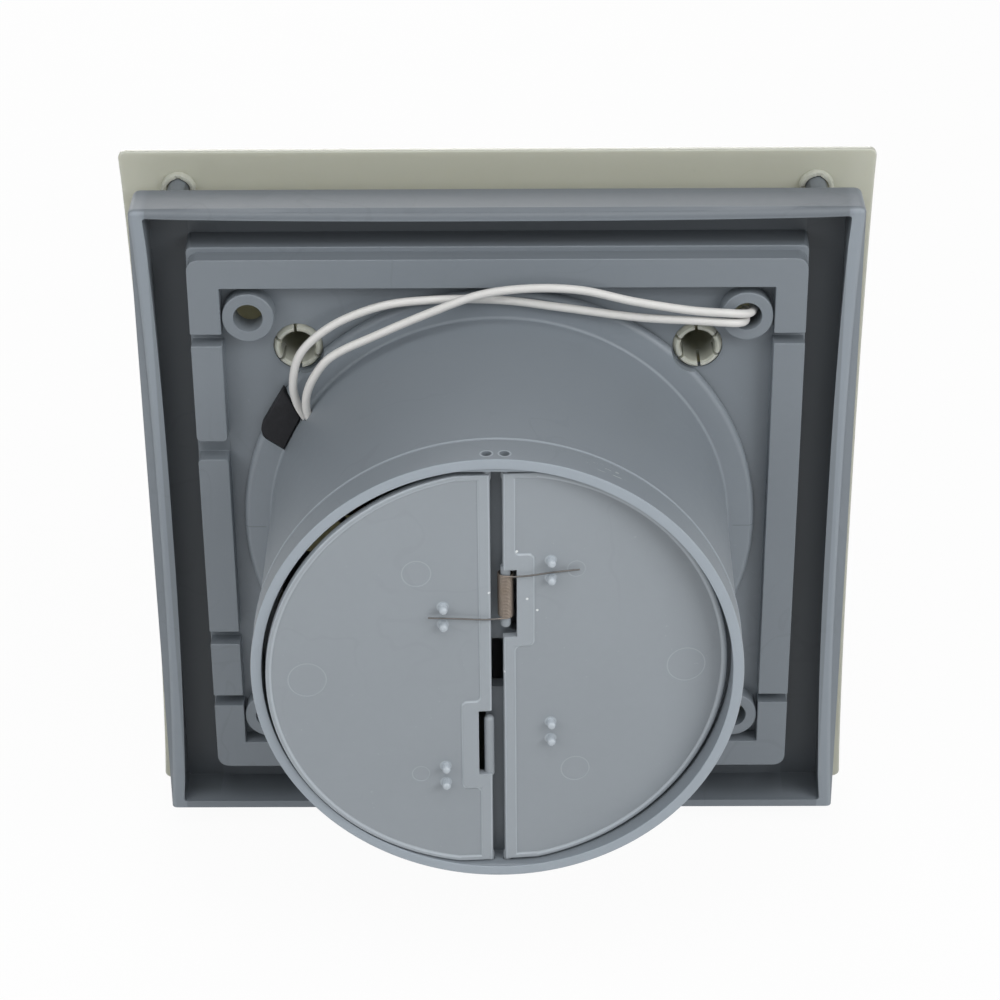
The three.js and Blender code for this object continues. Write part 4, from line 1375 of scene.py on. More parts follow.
@dataclass
class FrontPanel:
    """The clip-on panel with its four split pegs."""

    size: float = 159.5
    rear: float = -19.9
    thickness: float = 1.7
    corner_radius: float = 1.5
    peg: Point = (42.2, 42.0, 4.85)
    barb: float = 0.28
    bore: float = 3.7
    tip: float = -3.2
    slot: float = 0.65
    slot_depth: float = 6.0
    slots: int = 6
    slot_turn: float = 0.62
    left_bow: float = 1.45
    right_bow: float = 1.0
    post: Point = (67.3, 71.5, 2.5)
    collar: Point = (3.7, 1.5, 0.35)
    collar_dent: float = 0.45
    edge_soft: float = 0.4
    bow_step: float = 8.0
    bow_band: float = 2.0

    def split_peg(self) -> Object:
        """One hollow peg on the duct's axis, with chamfered fingers.

        Returns:
            The peg.
        """
        bore, outer, tip, foot = self.bore, self.peg[2], self.tip, self.rear - 0.4
        points = [(bore, foot), (outer, foot), (outer, tip - 2.2)]
        points += [(outer + self.barb, tip - 1.8), (outer + self.barb, tip - 1.1)]
        points += [(outer - 0.3, tip), (bore + 0.35, tip), (bore, tip - 0.5)]
        peg = Pen("peg", points).turn(72)
        low = (2.0, tip - self.slot_depth, -self.slot / 2)
        cut = block("cut", low, (7.0, tip + 1, self.slot / 2))
        turns = [math.tau * i / self.slots + self.slot_turn for i in range(self.slots)]
        return meet(peg, Join.CUT, combine(copies(cut, turns, [(0, 0)] * self.slots)))

    def build(self) -> Object:
        """Models the panel and its pegs.

        Returns:
            The finished piece.
        """
        half = self.size / 2
        low = (-half, self.rear - self.thickness, -half)
        sheet = block("panel_moulding", low, (half, self.rear, half))
        round_edges(sheet, longer(1), self.corner_radius, 8)
        soften(sheet, self.edge_soft, 4)
        self.bow_sides(sheet)
        pegs = copies(self.split_peg(), [0.0] * 4, four(self.peg[0], self.peg[1]))
        collars = [self.post_collar(side, level) for side, level in four(1, 1)]
        meet(sheet, Join.ADD, combine(pegs + collars))
        return polish(sheet)

    def bow_sides(self, sheet: Object) -> None:
        """Draws both sides of the sheet in a little between its corners.

        Args:
            sheet: The sheet, which is changed.
        """
        columns = [step * self.bow_step for step in range(-9, 10)]
        half = self.size / 2
        edit(sheet)
        slice_up(2, columns)
        bpy.ops.mesh.select_mode(type="VERT")
        for side, bow in ((1, self.left_bow), (-1, self.right_bow)):
            draw_in(sheet, 0, side, columns, (half - self.bow_band, -math.inf), (bow, half))
        select_only(sheet)

    def post_collar(self, side: float, level: float) -> Object:
        """A low collar on the sheet round one of the housing's posts, uneven where it was staked.

        Args:
            side: 1 for the +X side, -1 for the other.
            level: 1 for the top, -1 for the bottom.

        Returns:
            The collar.
        """
        inner, rear = self.post[2], self.rear
        outer, height, lip = self.collar
        points = [(inner, rear - 0.3), (outer, rear - 0.3), (outer, rear + height * 0.6)]
        points += [(outer - lip, rear + height), (inner + 0.1, rear + height - 0.1)]
        collar = Pen("collar", points).turn(40)

        def dented(p: Vector) -> bool:
            """Whether a point of the collar's upper half lies where it was pressed down."""
            turn = math.atan2(p.z, p.x) + side + 2 * level
            return p.y > rear + height * 0.5 and math.sin(3 * turn) + math.sin(7 * turn + 1) > 0.5

        edit(collar, "VERT")
        pick(collar, dented)
        bpy.ops.transform.translate(value=metres((0, -self.collar_dent, 0)))
        select_only(collar)
        return settle(collar, (side * self.post[0], 0, level * self.post[1]))


# ------------------------------------------------------------------------------------ duct spigot


def seal_outline(margin: float, height: float) -> list[Point]:
    """The outlet seal's outline at a height in Y, with one round corner.

    Args:
        margin: How far it is grown on every side.
        height: Its place along Y.

    Returns:
        Its points, in order.
    """
    corners = []
    for radius, degrees in ((49.7, 31.8), (49.7, 22.1), (56.4, 23.6), (56.4, 36.0)):
        turn = math.radians(degrees)
        corners.append(Vector((radius * math.cos(turn), radius * math.sin(turn))))
    inner_high, inner_low, outer_low, outer_high = corners
    reach = 3.0
    first = outer_low + (inner_low - outer_low).normalized() * reach
    last = outer_low + (outer_high - outer_low).normalized() * reach
    shares = [k / 8 for k in range(9)]
    rounded = [
        first * (1 - t) ** 2 + outer_low * (2 * t * (1 - t)) + last * t**2 for t in shares
    ]
    points = [inner_high, inner_low, *rounded, outer_high]
    normals = []
    for point, after in zip(points, points[1:] + points[:1]):
        side = (after - point).normalized()
        normals.append(Vector((side.y, -side.x)))
    grown = []
    for i, point in enumerate(points):
        before, after = normals[i - 1], normals[i]
        x, z = point + (before + after) * (margin / (1 + before.dot(after)))
        grown.append((x, height, z))
    return grown


@dataclass
class Spigot:
    """The round duct spigot with its flange, stop bar and pivot blocks."""

    length: float = 59.5
    radius: float = 49.25
    bore: float = 47.0
    band_start: float = 50.6
    band_step: float = 0.4
    bead: float = 0.12
    foot_radius: float = 49.4
    foot_bore: float = 47.15
    fillet: float = 0.7
    flange_radius: float = 55.5
    flange_edge: float = 1.3
    flange_rear: float = -1.8
    flange_front: float = -3.9
    pivot_flat: float = 46.4
    pivot_hole: float = 0.95
    bar_rear: float = 54.4
    bar_front: float = 51.4
    bar_half: float = 2.5
    bar_reach: float = 47.9
    eye: float = 8.5
    eye_bore: float = 5.8
    ledge: float = 45.6
    ledge_rear: float = 51.9
    peg_notch: Point = (42.2, 42.0, 5.55)
    notch_depth: float = 4.0
    seal_gap: float = 0.3
    wire_room: float = 2.4
    soft: float = 0.3
    sides: int = 176

    def profile(self) -> list[Place]:
        """The tube's section in radius and Y, from the inner foot round to itself.

        Returns:
            Its points in order, of which the last is joined to the first.
        """
        rounds = []
        for turn in (math.radians(degrees) for degrees in range(0, 91, 15)):
            rounds.append((math.cos(turn), math.sin(turn)))
        edge, fillet = self.flange_edge, self.fillet
        edge_r, edge_y = self.flange_radius - edge, self.flange_rear - edge
        foot_r, foot_y = self.foot_radius + fillet, self.flange_rear + fillet
        low, outer = self.flange_front, self.flange_radius
        points = [(self.foot_bore, low), (outer - 0.2, low), (outer, low + 0.2)]
        points += [(edge_r + edge * cos, edge_y + edge * sin) for cos, sin in rounds]
        points += [(foot_r - fillet * sin, foot_y - fillet * cos) for cos, sin in rounds]
        lip = [(-self.band_step, -0.35), (0.05 - self.band_step, -0.12), (0, 0)]
        lip += [(self.bead, 0.15), (self.bead, 0.4), (0, 0.62)]
        lip += [(-self.bead, 0.78), (-self.bead, 1.05), (0, 1.3)]
        points += [(self.radius + out, self.band_start + up) for out, up in lip]
        end = [(self.radius, -0.35), (self.radius - 0.1, -0.1), (self.radius - 0.35, 0)]
        end += [(self.bore + 0.3, 0), (self.bore + 0.08, -0.08), (self.bore, -0.3)]
        points += [(r, self.length + up) for r, up in end]
        inside = [(self.bore, 0), (self.ledge, 0), (self.ledge, -2.0), (self.bore + 0.1, -4.8)]
        points += [(r, self.ledge_rear + up) for r, up in inside]
        return points + [(self.foot_bore, self.flange_front + 1.2)]

    def pivot_blocks(self) -> list[Object]:
        """The two flat blocks in the tube's end, top and bottom, that hold the flaps' pins.

        Returns:
            The blocks.
        """
        blocks = []
        for side in (1, -1):
            length = self.length - 0.25 - self.bar_front
            core = drum("core", self.bore + 1.1, (0, self.bar_front, 0), length, self.sides)
            low, high = sorted((side * self.pivot_flat, side * 60.0))
            keep = block("keep", (-60, self.bar_front - 1, low), (60, self.length + 1, high))
            blocks.append(meet(core, Join.KEEP, keep))
        return blocks

    def stop_bar(self) -> Object:
        """The upright bar across the duct, with its round eye.

        Returns:
            The bar.
        """
        low = (-self.bar_half, self.bar_front, -self.bar_reach)
        bar = block("bar", low, (self.bar_half, self.bar_rear, self.bar_reach))
        thick = self.bar_rear - self.bar_front
        eye = soften(drum("eye", self.eye, (0, self.bar_front, 0), thick, 64), self.soft)
        hole = drum("eye_bore", self.eye_bore, (0, self.bar_front - 1, 0), 6.0, 64)
        return meet(meet(soften(bar, self.soft), Join.ADD, eye), Join.CUT, hole)

    def cuts(self) -> list[Object]:
        """The pivot holes, peg notches, wire outlets and the seal's notch, as solids.

        Returns:
            The solids to cut away.
        """
        x, z, radius = self.peg_notch
        cuts = []
        for px, level in four(HINGE_X, 1):
            low = (px, HINGE_Y, 45.0 if level > 0 else -51.0)
            cuts.append(drum("pivot", self.pivot_hole, low, 6.0, 32, Axis.Z))
        cuts += drums("notch", radius, four(x, z), self.flange_front - 1, self.notch_depth, 48)

        def at_outlet(p: Point) -> bool:
            """Whether a wire passes the flange at a point."""
            return abs(math.hypot(p[0], p[2]) - self.foot_radius) < 6.5 and 20 < p[2] < 38

        for points in (LeadWires.outer, LeadWires.inner):
            near = smooth_route([point for point in points if at_outlet(point)], 5)
            cuts.append(as_mesh(wire_curve("outlet", near, self.wire_room)))
        rise = self.flange_rear + 0.7 - self.flange_front + 1
        outline = seal_outline(self.seal_gap, self.flange_front - 1)
        return cuts + [Pen("seal_notch", outline).thicken(rise)]

    def build(self) -> Object:
        """Models the spigot.

        Returns:
            The finished piece.
        """
        tube = Pen("spigot_moulding", self.profile()).turn(self.sides)
        meet(tube, Join.ADD, *self.pivot_blocks(), self.stop_bar())
        meet(tube, Join.CUT, *self.cuts())
        return polish(tube)


@dataclass
class OutletSeal:
    """The black rubber block in the flange, beside the wires."""

    low: float = -3.9
    high: float = -1.4
    soft: float = 0.3

    def build(self) -> Object:
        """Models the seal."""
        seal = Pen("outlet_seal", seal_outline(0.0, self.low)).thicken(self.high - self.low)
        return polish(soften(seal, self.soft, 3))


# ------------------------------------------------------------------------------------ shutters


@dataclass
class Flap:
    """The shutter moulding, drawn as the one on the photograph's right, shut flat."""

    radius: float = 46.3
    half_height: float = 45.6
    edge: float = 1.2
    face: float = 58.4
    thickness: float = 1.8
    border: float = 2.3
    arc_border: float = 1.1
    border_height: float = 0.3
    slope: float = 0.4
    edge_round: float = 0.42
    notch: Point = (8.6, 24.0, 2.7)
    notch_border: float = 3.4
    finger_radius: float = 1.0
    finger_tip: float = 10.4
    pin_radius: float = 0.8
    pin_end: float = 47.4
    nub_at: float = 10.66
    nub_pairs: Place = (23.7, -14.2)
    nub_spacing: float = 4.0
    nub_radius: float = 0.85
    nub_height: float = 2.1
    marks: tuple[Point, ...] = ((-37.9, -0.2, 3.8), (-15.7, -23.95, 2.85), (-15.7, 23.45, 1.75))
    mark_depth: float = 0.07
    turn_round: float = 0.9
    finger_round: float = 0.85
    nub_round: float = 0.66
    soft: float = 0.1

    def outline(self) -> list[Point]:
        """The flap's edge, from the top of its straight side round to itself.

        Returns:
            Its points in order, of which the last is joined to the first.
        """
        start = math.asin(self.half_height / self.radius)
        turns = [math.pi - start + 2 * start * i / 96 for i in range(97)]
        arc = [(self.radius * math.cos(turn), self.radius * math.sin(turn)) for turn in turns]
        low, high, deep = self.notch
        edge = -self.edge
        points = [(edge, self.half_height), *arc, (edge, -self.half_height)]
        points += [(edge, low), (edge - deep, low), (edge - deep, high), (edge, high)]
        return [(x, self.face - self.thickness, z) for x, z in points]

    def plate(self) -> Object:
        """The plate with its raised border, which also runs round the notch.

        Returns:
            The plate.
        """
        plate = Pen("flap", self.outline()).thicken(self.thickness)
        edit(plate, "FACE")
        pick(plate, lambda p: p.y > self.face - 0.01)
        for width in (self.border - self.slope / 2, self.slope):
            bpy.ops.mesh.inset(thickness=width * MM, use_even_offset=True)
        bpy.ops.transform.translate(value=metres((0, -self.border_height, 0)))
        self.shift_border(plate)
        edge = -self.edge
        at_edge = lambda p: math.hypot(p.x, p.z) > 45.4 or p.x > edge - 0.01
        at_rim = lambda p: p.y > self.face - 0.01 and at_edge(p)
        round_edges(plate, lambda a, b: at_rim(a) and at_rim(b), self.edge_round, 4)
        low, high, deep = self.notch
        far, near = edge - deep - self.notch_border, edge - self.border
        turns = [(x, high + self.notch_border) for x in (near, far)]
        turns += [(x, low - self.border) for x in (far, near)]
        at_turn = lambda p: any(math.hypot(p.x - x, p.z - z) < self.slope for x, z in turns)
        sloping = longer(self.border_height / 2)
        at_corner = lambda a, b: sloping(a, b) and at_turn(a) and at_turn(b)
        round_edges(plate, at_corner, self.turn_round, 5)
        return soften(plate, self.soft, 2, 38)

    def shift_border(self, plate: Object) -> None:
        """Moves the raised border's inner edge away from the notch and towards the round side.

        Args:
            plate: The plate in edit mode, which is changed.
        """
        low, high, deep = self.notch
        more = self.notch_border - self.border
        side_x, top_z = self.edge + deep + self.border, high + self.border
        inner = self.radius - self.border
        near_side = lambda p: abs(p.x + side_x) < 0.4 and low - 4 < p.z < high + 4
        near_top = lambda p: abs(p.z - top_z) < 0.4 and -self.edge - deep - 5 < p.x < 0
        near_arc = lambda p: inner - 1.6 < math.hypot(p.x, p.z) < inner + 0.6
        on_top = lambda p: p.y > self.face - self.border_height - 0.05
        bpy.ops.mesh.select_mode(type="VERT")
        for test, step in ((near_side, (-more, 0, 0)), (near_top, (0, 0, more))):
            pick(plate, lambda p: test(p) and on_top(p))
            bpy.ops.transform.translate(value=metres(step))
        pick(plate, lambda p: near_arc(p) and on_top(p))
        factor = (self.radius - self.arc_border) / inner
        bpy.ops.transform.resize(value=(factor, 1, factor), center_override=(0, 0, 0))

    def nub(self, z: float) -> Object:
        """One of the small domed studs that hold the spring's legs.

        Args:
            z: Its height.

        Returns:
            The stud.
        """
        face = self.face - self.border_height
        low = (-self.nub_at, face - 0.4, z)
        nub = drum("nub", self.nub_radius, low, self.nub_height + 0.4, 32)
        top = face + self.nub_height - 0.01
        return round_edges(nub, lambda a, b: min(a.y, b.y) > top, self.nub_round, 6)

    def nub_levels(self) -> list[float]:
        """The studs' heights in Z."""
        return [z + side * self.nub_spacing / 2 for z in self.nub_pairs for side in (1, -1)]

    def build(self) -> Object:
        """Models the flap, shut flat.

        Returns:
            The finished moulding.
        """
        plate = self.plate()
        added = []
        for side in (1, -1):
            low, high = sorted((side * (self.half_height - 1.5), side * self.pin_end))
            place = (-HINGE_X, HINGE_Y, low)
            pin = drum("pin", self.pin_radius, place, high - low, 24, Axis.Z)
            added.append(soften(pin, 0.2))
        tip = self.finger_tip
        place, length = (-HINGE_X, HINGE_Y, tip), self.notch[1] + 0.5 - tip
        finger = drum("finger", self.finger_radius, place, length, 28, Axis.Z)
        at_tip = lambda a, b: max(a.z, b.z) < tip + 0.01
        added.append(round_edges(finger, at_tip, self.finger_round, 6))
        added += [self.nub(z) for z in self.nub_levels()]
        meet(plate, Join.ADD, combine(added))
        low = self.face - self.border_height - self.mark_depth
        rings = [drum("mark", radius, (x, low, z), 0.5, 56) for x, z, radius in self.marks]
        return meet(plate, Join.CUT, combine(rings))


@dataclass
class Shutters:
    """Both flaps at the angles of the photograph. Sides are 1 for the left and -1 for the right."""

    moulding: Flap = field(default_factory=Flap)
    drops: Place = (0.5, 0.2)
    fleck: float = 0.22
    left_flecks: tuple[Place, ...] = ((1.5, 18.7),)
    right_flecks: tuple[Place, ...] = ((-1.4, 0.3), (-4.0, 27.9), (-6.0, 17.1), (-8.0, 14.2))

    def finish(self, side: int) -> MouldedGrey:
        """The lighter grey of one flap, partly painted light, with the marks of its mould where
        they lie at rest.

        Args:
            side: Which flap, 1 or -1.

        Returns:
            The finish.
        """
        left = side > 0
        drop = self.drops[0 if left else 1]
        flap = self.moulding
        flecks = self.left_flecks if left else self.right_flecks
        return MouldedGrey(
            "flap_grey_left" if left else "flap_grey_right",
            FLAP_GREY_LIT,
            roughness=0.5,
            grain=0.008,
            flow=0.035,
            scuffs=0.05,
            studs=tuple((side * flap.nub_at, -side * z - drop, 1.0) for z in flap.nub_levels()),
            flecks=tuple((x, z, self.fleck) for x, z in flecks),
            rings=tuple((-side * x, -side * z - drop, radius) for x, z, radius in flap.marks),
            hinge=(side * HINGE_X, LEFT_AJAR if left else RIGHT_SHUT),
        )

    def build(self) -> tuple[Object, Object]:
        """Models one flap, copies it and sets both at their hinges.

        Returns:
            The left and the right flap.
        """
        right = self.moulding.build()
        left = linked("shutter_left", right.data.copy())
        right.name = "shutter_right"
        left.rotation_euler = (0, math.pi, 0)
        settle(left)
        for piece, side, degrees, drop in (
            (left, 1, LEFT_AJAR, self.drops[0]),
            (right, -1, -RIGHT_SHUT, self.drops[1]),
        ):
            settle(piece, (0, 0, -drop))
            centre = Matrix.Translation(metres((side * HINGE_X, HINGE_Y, 0)))
            turn = Matrix.Rotation(math.radians(degrees), 4, "Z")
            piece.matrix_world = centre @ turn @ centre.inverted()
            polish(settle(piece), 28)
        return left, right


@dataclass
class TorsionSpring:
    """The closely wound spring on the right flap's finger, with a leg on each flap."""

    wire: float = 0.36
    radius: float = 1.44
    bottom: float = 13.0
    top: float = 22.6
    pitch: float = 0.33
    flap_face: float = 58.4
    clear: float = 0.65
    first_turn: float = 102.0
    last_turn: float = 78.0
    per_curl: int = 24
    right_leg: tuple[Point, ...] = (
        (-3.8, 0.1, 0.0), (-7.2, 0.25, 0.0), (-10.66, 0.45, 0.3), (-16.35, 0.8, 0.35)
    )
    left_leg: tuple[Point, ...] = ((13.55, 0.8, 0.0), (7.6, 0.4, 0.0), (2.4, 0.0, 0.0))

    def leg(self, points: Sequence[Point], start: float) -> list[Point]:
        """The points of a leg just over its flap's face.

        Args:
            points: Their X, their rise over the leg's start, and how far they are pressed down.
            start: The height of the leg's start.

        Returns:
            The points.
        """
        leg = []
        for x, rise, press in points:
            turn = math.radians(LEFT_AJAR if x > 0 else RIGHT_SHUT)
            height = (self.flap_face - HINGE_Y) * math.cos(turn)
            face = HINGE_Y + height + (abs(x) - HINGE_X) * math.sin(turn)
            leg.append((x, face + self.clear - press, start + rise))
        return leg

    def helix(self, low: float, high: float, first: float, last: float) -> list[Vector]:
        """Points of the coil.

        Args:
            low: Where it starts along Z.
            high: Where it ends.
            first: The starting angle, in degrees.
            last: The ending angle.

        Returns:
            The points, in metres.
        """
        count = round((last - first) / 360 * self.per_curl)
        points = []
        for share in (i / count for i in range(count + 1)):
            turn = math.radians(first + (last - first) * share)
            x = self.radius * math.cos(turn) - HINGE_X
            y = self.radius * math.sin(turn) + HINGE_Y
            points.append(metres((x, y, low + (high - low) * share)))
        return points

    def build(self) -> tuple[Object, Object]:
        """Models the coil with the right leg, and the left leg with its first curl.

        Returns:
            The coil and the left leg.
        """
        top, bottom = self.top, self.bottom
        curls = round((top - bottom) / self.pitch)
        coil = self.helix(bottom, top, self.first_turn, 360.0 * curls + self.last_turn)
        bend = smooth_route([tuple(coil[-1] / MM), *self.leg(self.right_leg, top)], 8)
        coil_piece = as_mesh(wire_curve("spring_coil", coil + bend[1:], self.wire, 2))
        curl = self.helix(bottom, bottom + self.pitch, self.first_turn, self.first_turn + 360)
        lead = smooth_route([*self.leg(self.left_leg, bottom), tuple(curl[0] / MM)], 12)
        leg_piece = as_mesh(wire_curve("spring_left_leg", lead + curl[1:], self.wire, 2))
        return coil_piece, leg_piece


# ------------------------------------------------------------------------------------ wiring


@dataclass
class LeadWires:
    """The motor's two lead wires, along the same routes as their solids."""

    diameter: float = 1.8
    outer: tuple[Point, ...] = (
        (33.4, -1.6, 5.0), (36.4, -1.9, 8.0), (38.2, -1.6, 14.0), (38.4, -1.1, 19.5),
        (39.2, -0.85, 24.2), (41.3, -0.55, 27.2), (42.8, -0.1, 30.8), (43.3, 0.5, 35.4),
        (41.5, 1.0, 42.6), (34.9, 0.8, 48.9), (24.4, 0.1, 53.2), (13.9, -0.4, 54.4),
        (-0.7, -0.5, 54.3), (-13.3, -0.4, 52.6), (-30.0, 0.3, 50.5), (-42.0, 1.1, 50.1),
        (-47.2, 1.3, 49.8), (-50.1, 0.9, 49.5), (-51.7, -0.9, 49.0), (-52.2, -3.5, 48.8),
        (-52.4, -6.6, 48.8), (-52.3, -10.0, 47.2), (-52.0, -12.0, 43.0), (-51.8, -12.3, 36.0),
        (-51.8, -12.2, 29.5), (-51.8, -12.2, 25.0),
    )
    inner: tuple[Point, ...] = (
        (33.4, 2.4, 3.0), (36.0, 2.4, 6.0), (37.4, 2.3, 13.0), (37.6, 2.0, 19.6),
        (38.2, 1.95, 24.2), (39.9, 1.9, 27.6), (40.6, 2.1, 30.6), (40.2, 2.5, 34.3),
        (38.3, 2.9, 38.7), (35.0, 3.2, 42.9), (24.4, 3.4, 48.5), (13.8, 2.9, 53.1),
        (3.4, 2.4, 56.9), (-7.0, 2.2, 58.2), (-17.4, 2.1, 57.7), (-27.9, 1.9, 55.1),
        (-38.3, 1.7, 53.1), (-43.0, 1.7, 52.5), (-48.0, 1.6, 52.1), (-51.0, 0.7, 51.5),
        (-52.9, -1.3, 50.8), (-53.7, -3.6, 50.6), (-53.9, -6.5, 50.6), (-54.2, -10.2, 49.4),
        (-56.4, -12.4, 44.0), (-58.6, -12.4, 36.0), (-58.8, -12.2, 29.5), (-58.8, -12.2, 25.0),
    )

    def build(self) -> list[Object]:
        """Returns:
            The two curve objects.
        """
        made = []
        for name, node, points in (
            ("wire_outer", "lead_wire_outer", self.outer),
            ("wire_inner", "lead_wire_inner", self.inner),
        ):
            route = smooth_route(points, 6)
            length = sum((b - a).length for a, b in zip(route, route[1:]))
            wire = wire_curve(name, route, self.diameter)
            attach(wire, "housing")
            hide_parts(node)
            made.append(wire)
        return made


# ------------------------------------------------------------------------------------ impeller


@dataclass
class Impeller:
    """The axial impeller behind the motor."""

    hub_radius: float = 20.0
    front: float = 12.0
    length: float = 22.0
    wall: float = 1.6
    boss: float = 4.4
    bore: float = 1.9
    tip: float = 45.1
    blades: int = 7
    root_pitch: float = 50.0
    tip_pitch: float = 27.0
    root_chord: float = 21.0
    tip_chord: float = 32.0
    camber: float = 1.8
    thickness: float = 1.5
    edge_soft: float = 0.45
    steps: int = 8

    def hub(self) -> Object:
        """The hub cup with its boss.

        Returns:
            The hub.
        """
        front, rear, wall, radius = self.front, self.front + self.length, self.wall, self.hub_radius
        points = [(self.bore, front + 2), (self.boss, front + 2), (self.boss, rear - wall)]
        points += [(radius - wall, rear - 2 * wall), (radius - wall, front)]
        points += [(radius - 0.2, front), (radius, front + 0.2)]
        for inset, drop in ((0, 2.2), (0.35, 1.3), (1.2, 0.55), (2.4, 0.12), (3.6, 0)):
            points.append((radius - inset, rear - drop * wall))
        points += [(self.bore + 4.4, rear), (self.bore + 4.0, rear - 0.5), (self.bore, rear - 0.5)]
        return Pen("impeller_moulding", points).turn(96)

    def blade(self) -> Object:
        """One twisted blade along +X: its section is drawn once and extruded out in steps.

        Returns:
            The blade.
        """
        middle = self.front + self.length / 2
        root = self.hub_radius - 0.8
        pitch = math.radians(self.root_pitch)
        cos, sin = math.cos(pitch), math.sin(pitch)
        section = []
        for s in (i / 12 - 0.5 for i in range(13)):
            chord, bulge = s * self.root_chord, self.camber * (1 - 4 * s * s)
            section.append((root, middle + chord * sin + bulge * cos, chord * cos - bulge * sin))
        pen = Pen("blade", section, closed=False)
        select_all()
        span = self.tip + 2.5 - root
        turn = math.radians((self.root_pitch - self.tip_pitch) / self.steps)
        chord = self.root_chord
        for share in (i / self.steps for i in range(1, self.steps + 1)):
            wanted = self.root_chord + (self.tip_chord - self.root_chord) * share
            factor = wanted / chord
            chord = wanted
            centre = metres((root + span * share, middle, 0))
            pen.extrude(Vector((span / self.steps, 0, 0)))
            bpy.ops.transform.resize(value=(1, factor, factor), center_override=centre)
            bpy.ops.transform.rotate(value=-turn, orient_axis="X", center_override=centre)
        applied(pen.piece, "SOLIDIFY", thickness=self.thickness * MM, offset=0)
        return soften(pen.piece, self.edge_soft, 3, 60)

    def build(self) -> Object:
        """Models the hub and its blades.

        Returns:
            The finished piece.
        """
        trim = drum("trim", self.tip, (0, self.front - 6, 0), self.length + 12, 160)
        blade = meet(self.blade(), Join.KEEP, trim)
        turns = [-math.tau * i / self.blades for i in range(self.blades)]
        blades = copies(blade, turns, [(0, 0)] * self.blades)
        return polish(meet(self.hub(), Join.ADD, *blades), 34)


# ------------------------------------------------------------------------------------ studio


@dataclass
class Studio:
    """Camera, soft light, and a pale floor under the object."""

    place: Point = (-5.565, 542.968, 313.057)
    forward: Point = (0.00852971, -0.870942, -0.4913118)
    right: Point = (-0.9999585, -0.00585726, -0.00697728)
    lens: float = 103.782
    floor: float = -79.95
    lamps: tuple[tuple[str, Point, Point, float, float], ...] = (
        ("key_left", (0.62, 0.52, 0.42), (0, 0.03, 0), 0.5, 2.4),
        ("key_right", (-0.62, 0.52, 0.42), (0, 0.03, 0), 0.5, 4.0),
        ("top", (0.0, 0.40, 0.75), (0, 0.03, 0), 0.6, 3.0),
        ("front", (0.2, -1.5, 0.25), (0, 0, 0), 1.0, 14.0),
    )

    def camera(self) -> None:
        """Sets the camera where the photograph was taken from."""
        ahead = Vector(self.forward).normalized()
        right = Vector(self.right)
        right = (right - ahead * right.dot(ahead)).normalized()
        turn = Matrix((right, right.cross(ahead), -ahead)).transposed().to_4x4()
        data = bpy.data.cameras.new("camera")
        data.lens = self.lens
        data.sensor_width = 36.0
        data.clip_start = 0.01
        data.clip_end = 50.0
        camera = linked("camera", data)
        camera.matrix_world = Matrix.Translation(metres(self.place)) @ turn
        bpy.context.scene.camera = camera
        bpy.context.scene.view_settings.view_transform = "Standard"

    def lamp(self, name: str, place: Point, target: Point, size: float, power: float) -> None:
        """Adds a square soft box that faces a target.

        Args:
            name: The lamp's name.
            place: Where it stands, in metres.
            target: What it faces, in metres.
            size: Its side, in metres.
            power: Its power, in watts.
        """
        data = bpy.data.lights.new(name, "AREA")
        data.shape = "SQUARE"
        data.size = size
        data.energy = power
        lamp = linked(name, data)
        lamp.location = place
        lamp.rotation_mode = "QUATERNION"
        lamp.rotation_quaternion = (Vector(target) - Vector(place)).to_track_quat("-Z", "Y")

    def backdrop(self, graph: Graph) -> Signal:
        """1 for rays that should see white as it is: those of camera, gloss and glass."""
        rays = graph.node("ShaderNodeLightPath").socket.node.outputs
        names = ("Is Camera Ray", "Is Glossy Ray", "Is Transmission Ray")
        return reduce(Signal.most, [Signal(graph, rays[name]) for name in names])

    def build(self) -> None:
        """Makes the lamps, the white surroundings and the floor."""
        for lamp in self.lamps:
            self.lamp(*lamp)
        world = bpy.data.worlds.new("studio")
        bpy.context.scene.world = world
        world.use_nodes = True
        graph = Graph("studio", world.node_tree)
        white = (1, 1, 1, 1)
        sockets = {"Color": white, "Strength": self.backdrop(graph) * 0.88 + 0.12}
        shade = graph.node("ShaderNodeBackground", None, sockets)
        graph.node("ShaderNodeOutputWorld", None, {"Surface": shade})
        deselect()
        bpy.ops.mesh.primitive_plane_add(size=8, location=(0, 0, self.floor * MM))
        floor = bpy.context.active_object
        floor.name = "floor"
        graph = Graph("floor_white")
        seen = self.backdrop(graph)
        sockets = {"Base Color": (0.86, 0.86, 0.86, 1), "Roughness": graph.noise(30, 2) * 0.2 + 0.6}
        paint = graph.node("ShaderNodeBsdfPrincipled", None, sockets)
        glow = graph.node("ShaderNodeEmission", None, {"Color": white, "Strength": 1.0})
        mix = graph.node("ShaderNodeMixShader", None, {0: seen * 0.95, 1: paint, 2: glow})
        graph.node("ShaderNodeOutputMaterial", None, {"Surface": mix})
        dress(floor, graph.material)


# ------------------------------------------------------------------------------------ assembly


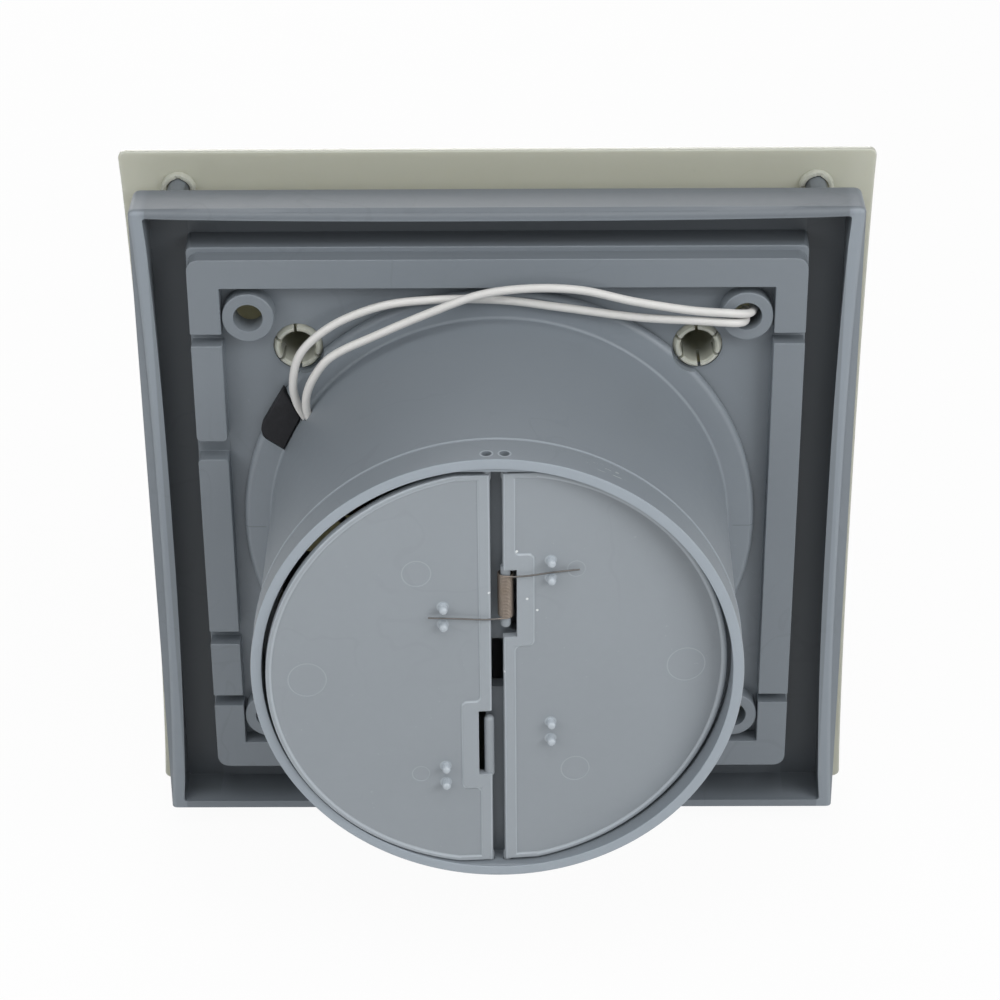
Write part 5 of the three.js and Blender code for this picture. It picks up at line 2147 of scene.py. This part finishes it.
@dataclass
class InnerParts:
    """The motor, mount, terminals and screws, which stay as the CAD made them."""

    screws: Metal = Metal("screw_zinc", (0.60, 0.59, 0.55), Lay.PLATED, 0.3)

    def finishes(self) -> dict[str, MouldedGrey | Metal | PlainPlastic]:
        """Each finish, by the start of the names of the nodes that it is for.

        Returns:
            The finishes.
        """
        return {
            "motor_mount": MouldedGrey("mount_grey", ABS_GREY),
            "cord_clamp": MouldedGrey("clamp_grey", ABS_GREY),
            "stator_core": Metal("lamination_steel", (0.30, 0.30, 0.31), Lay.STACKED, 0.42),
            "rotor_core": Metal("rotor_steel", (0.36, 0.36, 0.37), Lay.STACKED, 0.38),
            "coil_bobbin": PlainPlastic("bobbin_black", (0.022, 0.022, 0.024), 0.45),
            "stator_coil": Metal("winding_copper", (0.55, 0.20, 0.07), Lay.WOUND, 0.32),
            "shading_ring": Metal("shading_copper", (0.66, 0.30, 0.15), Lay.DRAWN, 0.3),
            "bearing_bracket": Metal("bracket_zinc", (0.55, 0.56, 0.57), Lay.PLATED, 0.36),
            "bearing_bush": Metal("bush_bronze", (0.52, 0.34, 0.14), Lay.DRAWN, 0.38),
            "motor_shaft": Metal("shaft_steel", (0.62, 0.62, 0.63), Lay.DRAWN, 0.22),
            "impeller_clip": Metal("clip_steel", (0.42, 0.42, 0.42), Lay.DRAWN, 0.35),
            "terminal_block": PlainPlastic("block_natural", (0.74, 0.70, 0.58), 0.38),
            "terminal_screw": Metal("terminal_brass", (0.72, 0.55, 0.25), Lay.DRAWN, 0.3),
        }

    def dress(self, nodes: dict[str, Object]) -> int:
        """Gives each CAD node that shows its finish.

        Args:
            nodes: The CAD nodes by name.

        Returns:
            How many nodes were dressed.
        """
        materials = {key: finish.material() for key, finish in self.finishes().items()}
        zinc = self.screws.material()
        shown = {name: node for name, node in nodes.items() if not node.hide_render}
        for name, node in shown.items():
            matches = [key for key in materials if name.startswith(key)]
            dress(node, materials[matches[0]] if matches else zinc)
        return len(shown)


def place_piece(piece: Object, body: str, node: str, material: Material) -> None:
    """Dresses a finished piece and puts it on its body in place of its CAD node.

    Args:
        piece: The modelled piece.
        body: The CAD body that it moves with.
        node: The CAD node that it stands for.
        material: Its finish.
    """
    dress(piece, material)
    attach(piece, body)
    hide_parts(node)
    log.info("%s: %d faces on %s", piece.name, len(piece.data.polygons), body)


def main() -> None:
    """Builds the scene round the CAD frame."""
    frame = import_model()
    studio = Studio()
    studio.camera()
    insulation = Insulation().material()
    for wire in LeadWires().build():
        dress(wire, insulation)
        log.info("%s made", wire.name)
    grey, ivory = HOUSING.material(), PanelIvory().material()
    place_piece(Housing().build(), "housing", "base_housing", grey)
    place_piece(FrontPanel().build(), "housing", "front_panel", ivory)
    place_piece(Spigot().build(), "housing", "duct_spigot", SPIGOT.material())
    place_piece(OutletSeal().build(), "housing", "wire_seal", Rubber().material())
    shutters = Shutters()
    for flap, side, body in zip(shutters.build(), (1, -1), ("flap_left", "flap_right")):
        place_piece(flap, body, body, shutters.finish(side).material())
    coil, leg = TorsionSpring().build()
    steel = SPRING.material()
    place_piece(coil, "flap_right", "shutter_spring", steel)
    dress(leg, steel)
    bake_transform(leg)
    log.info("%s made", leg.name)
    place_piece(Impeller().build(), "rotor", "impeller", IMPELLER.material())
    log.info("%d inner pieces dressed", InnerParts().dress(frame["nodes"]))
    studio.build()


if __name__ == "__main__":
    logging.basicConfig(level=logging.INFO, format="%(name)s: %(message)s")
    main()
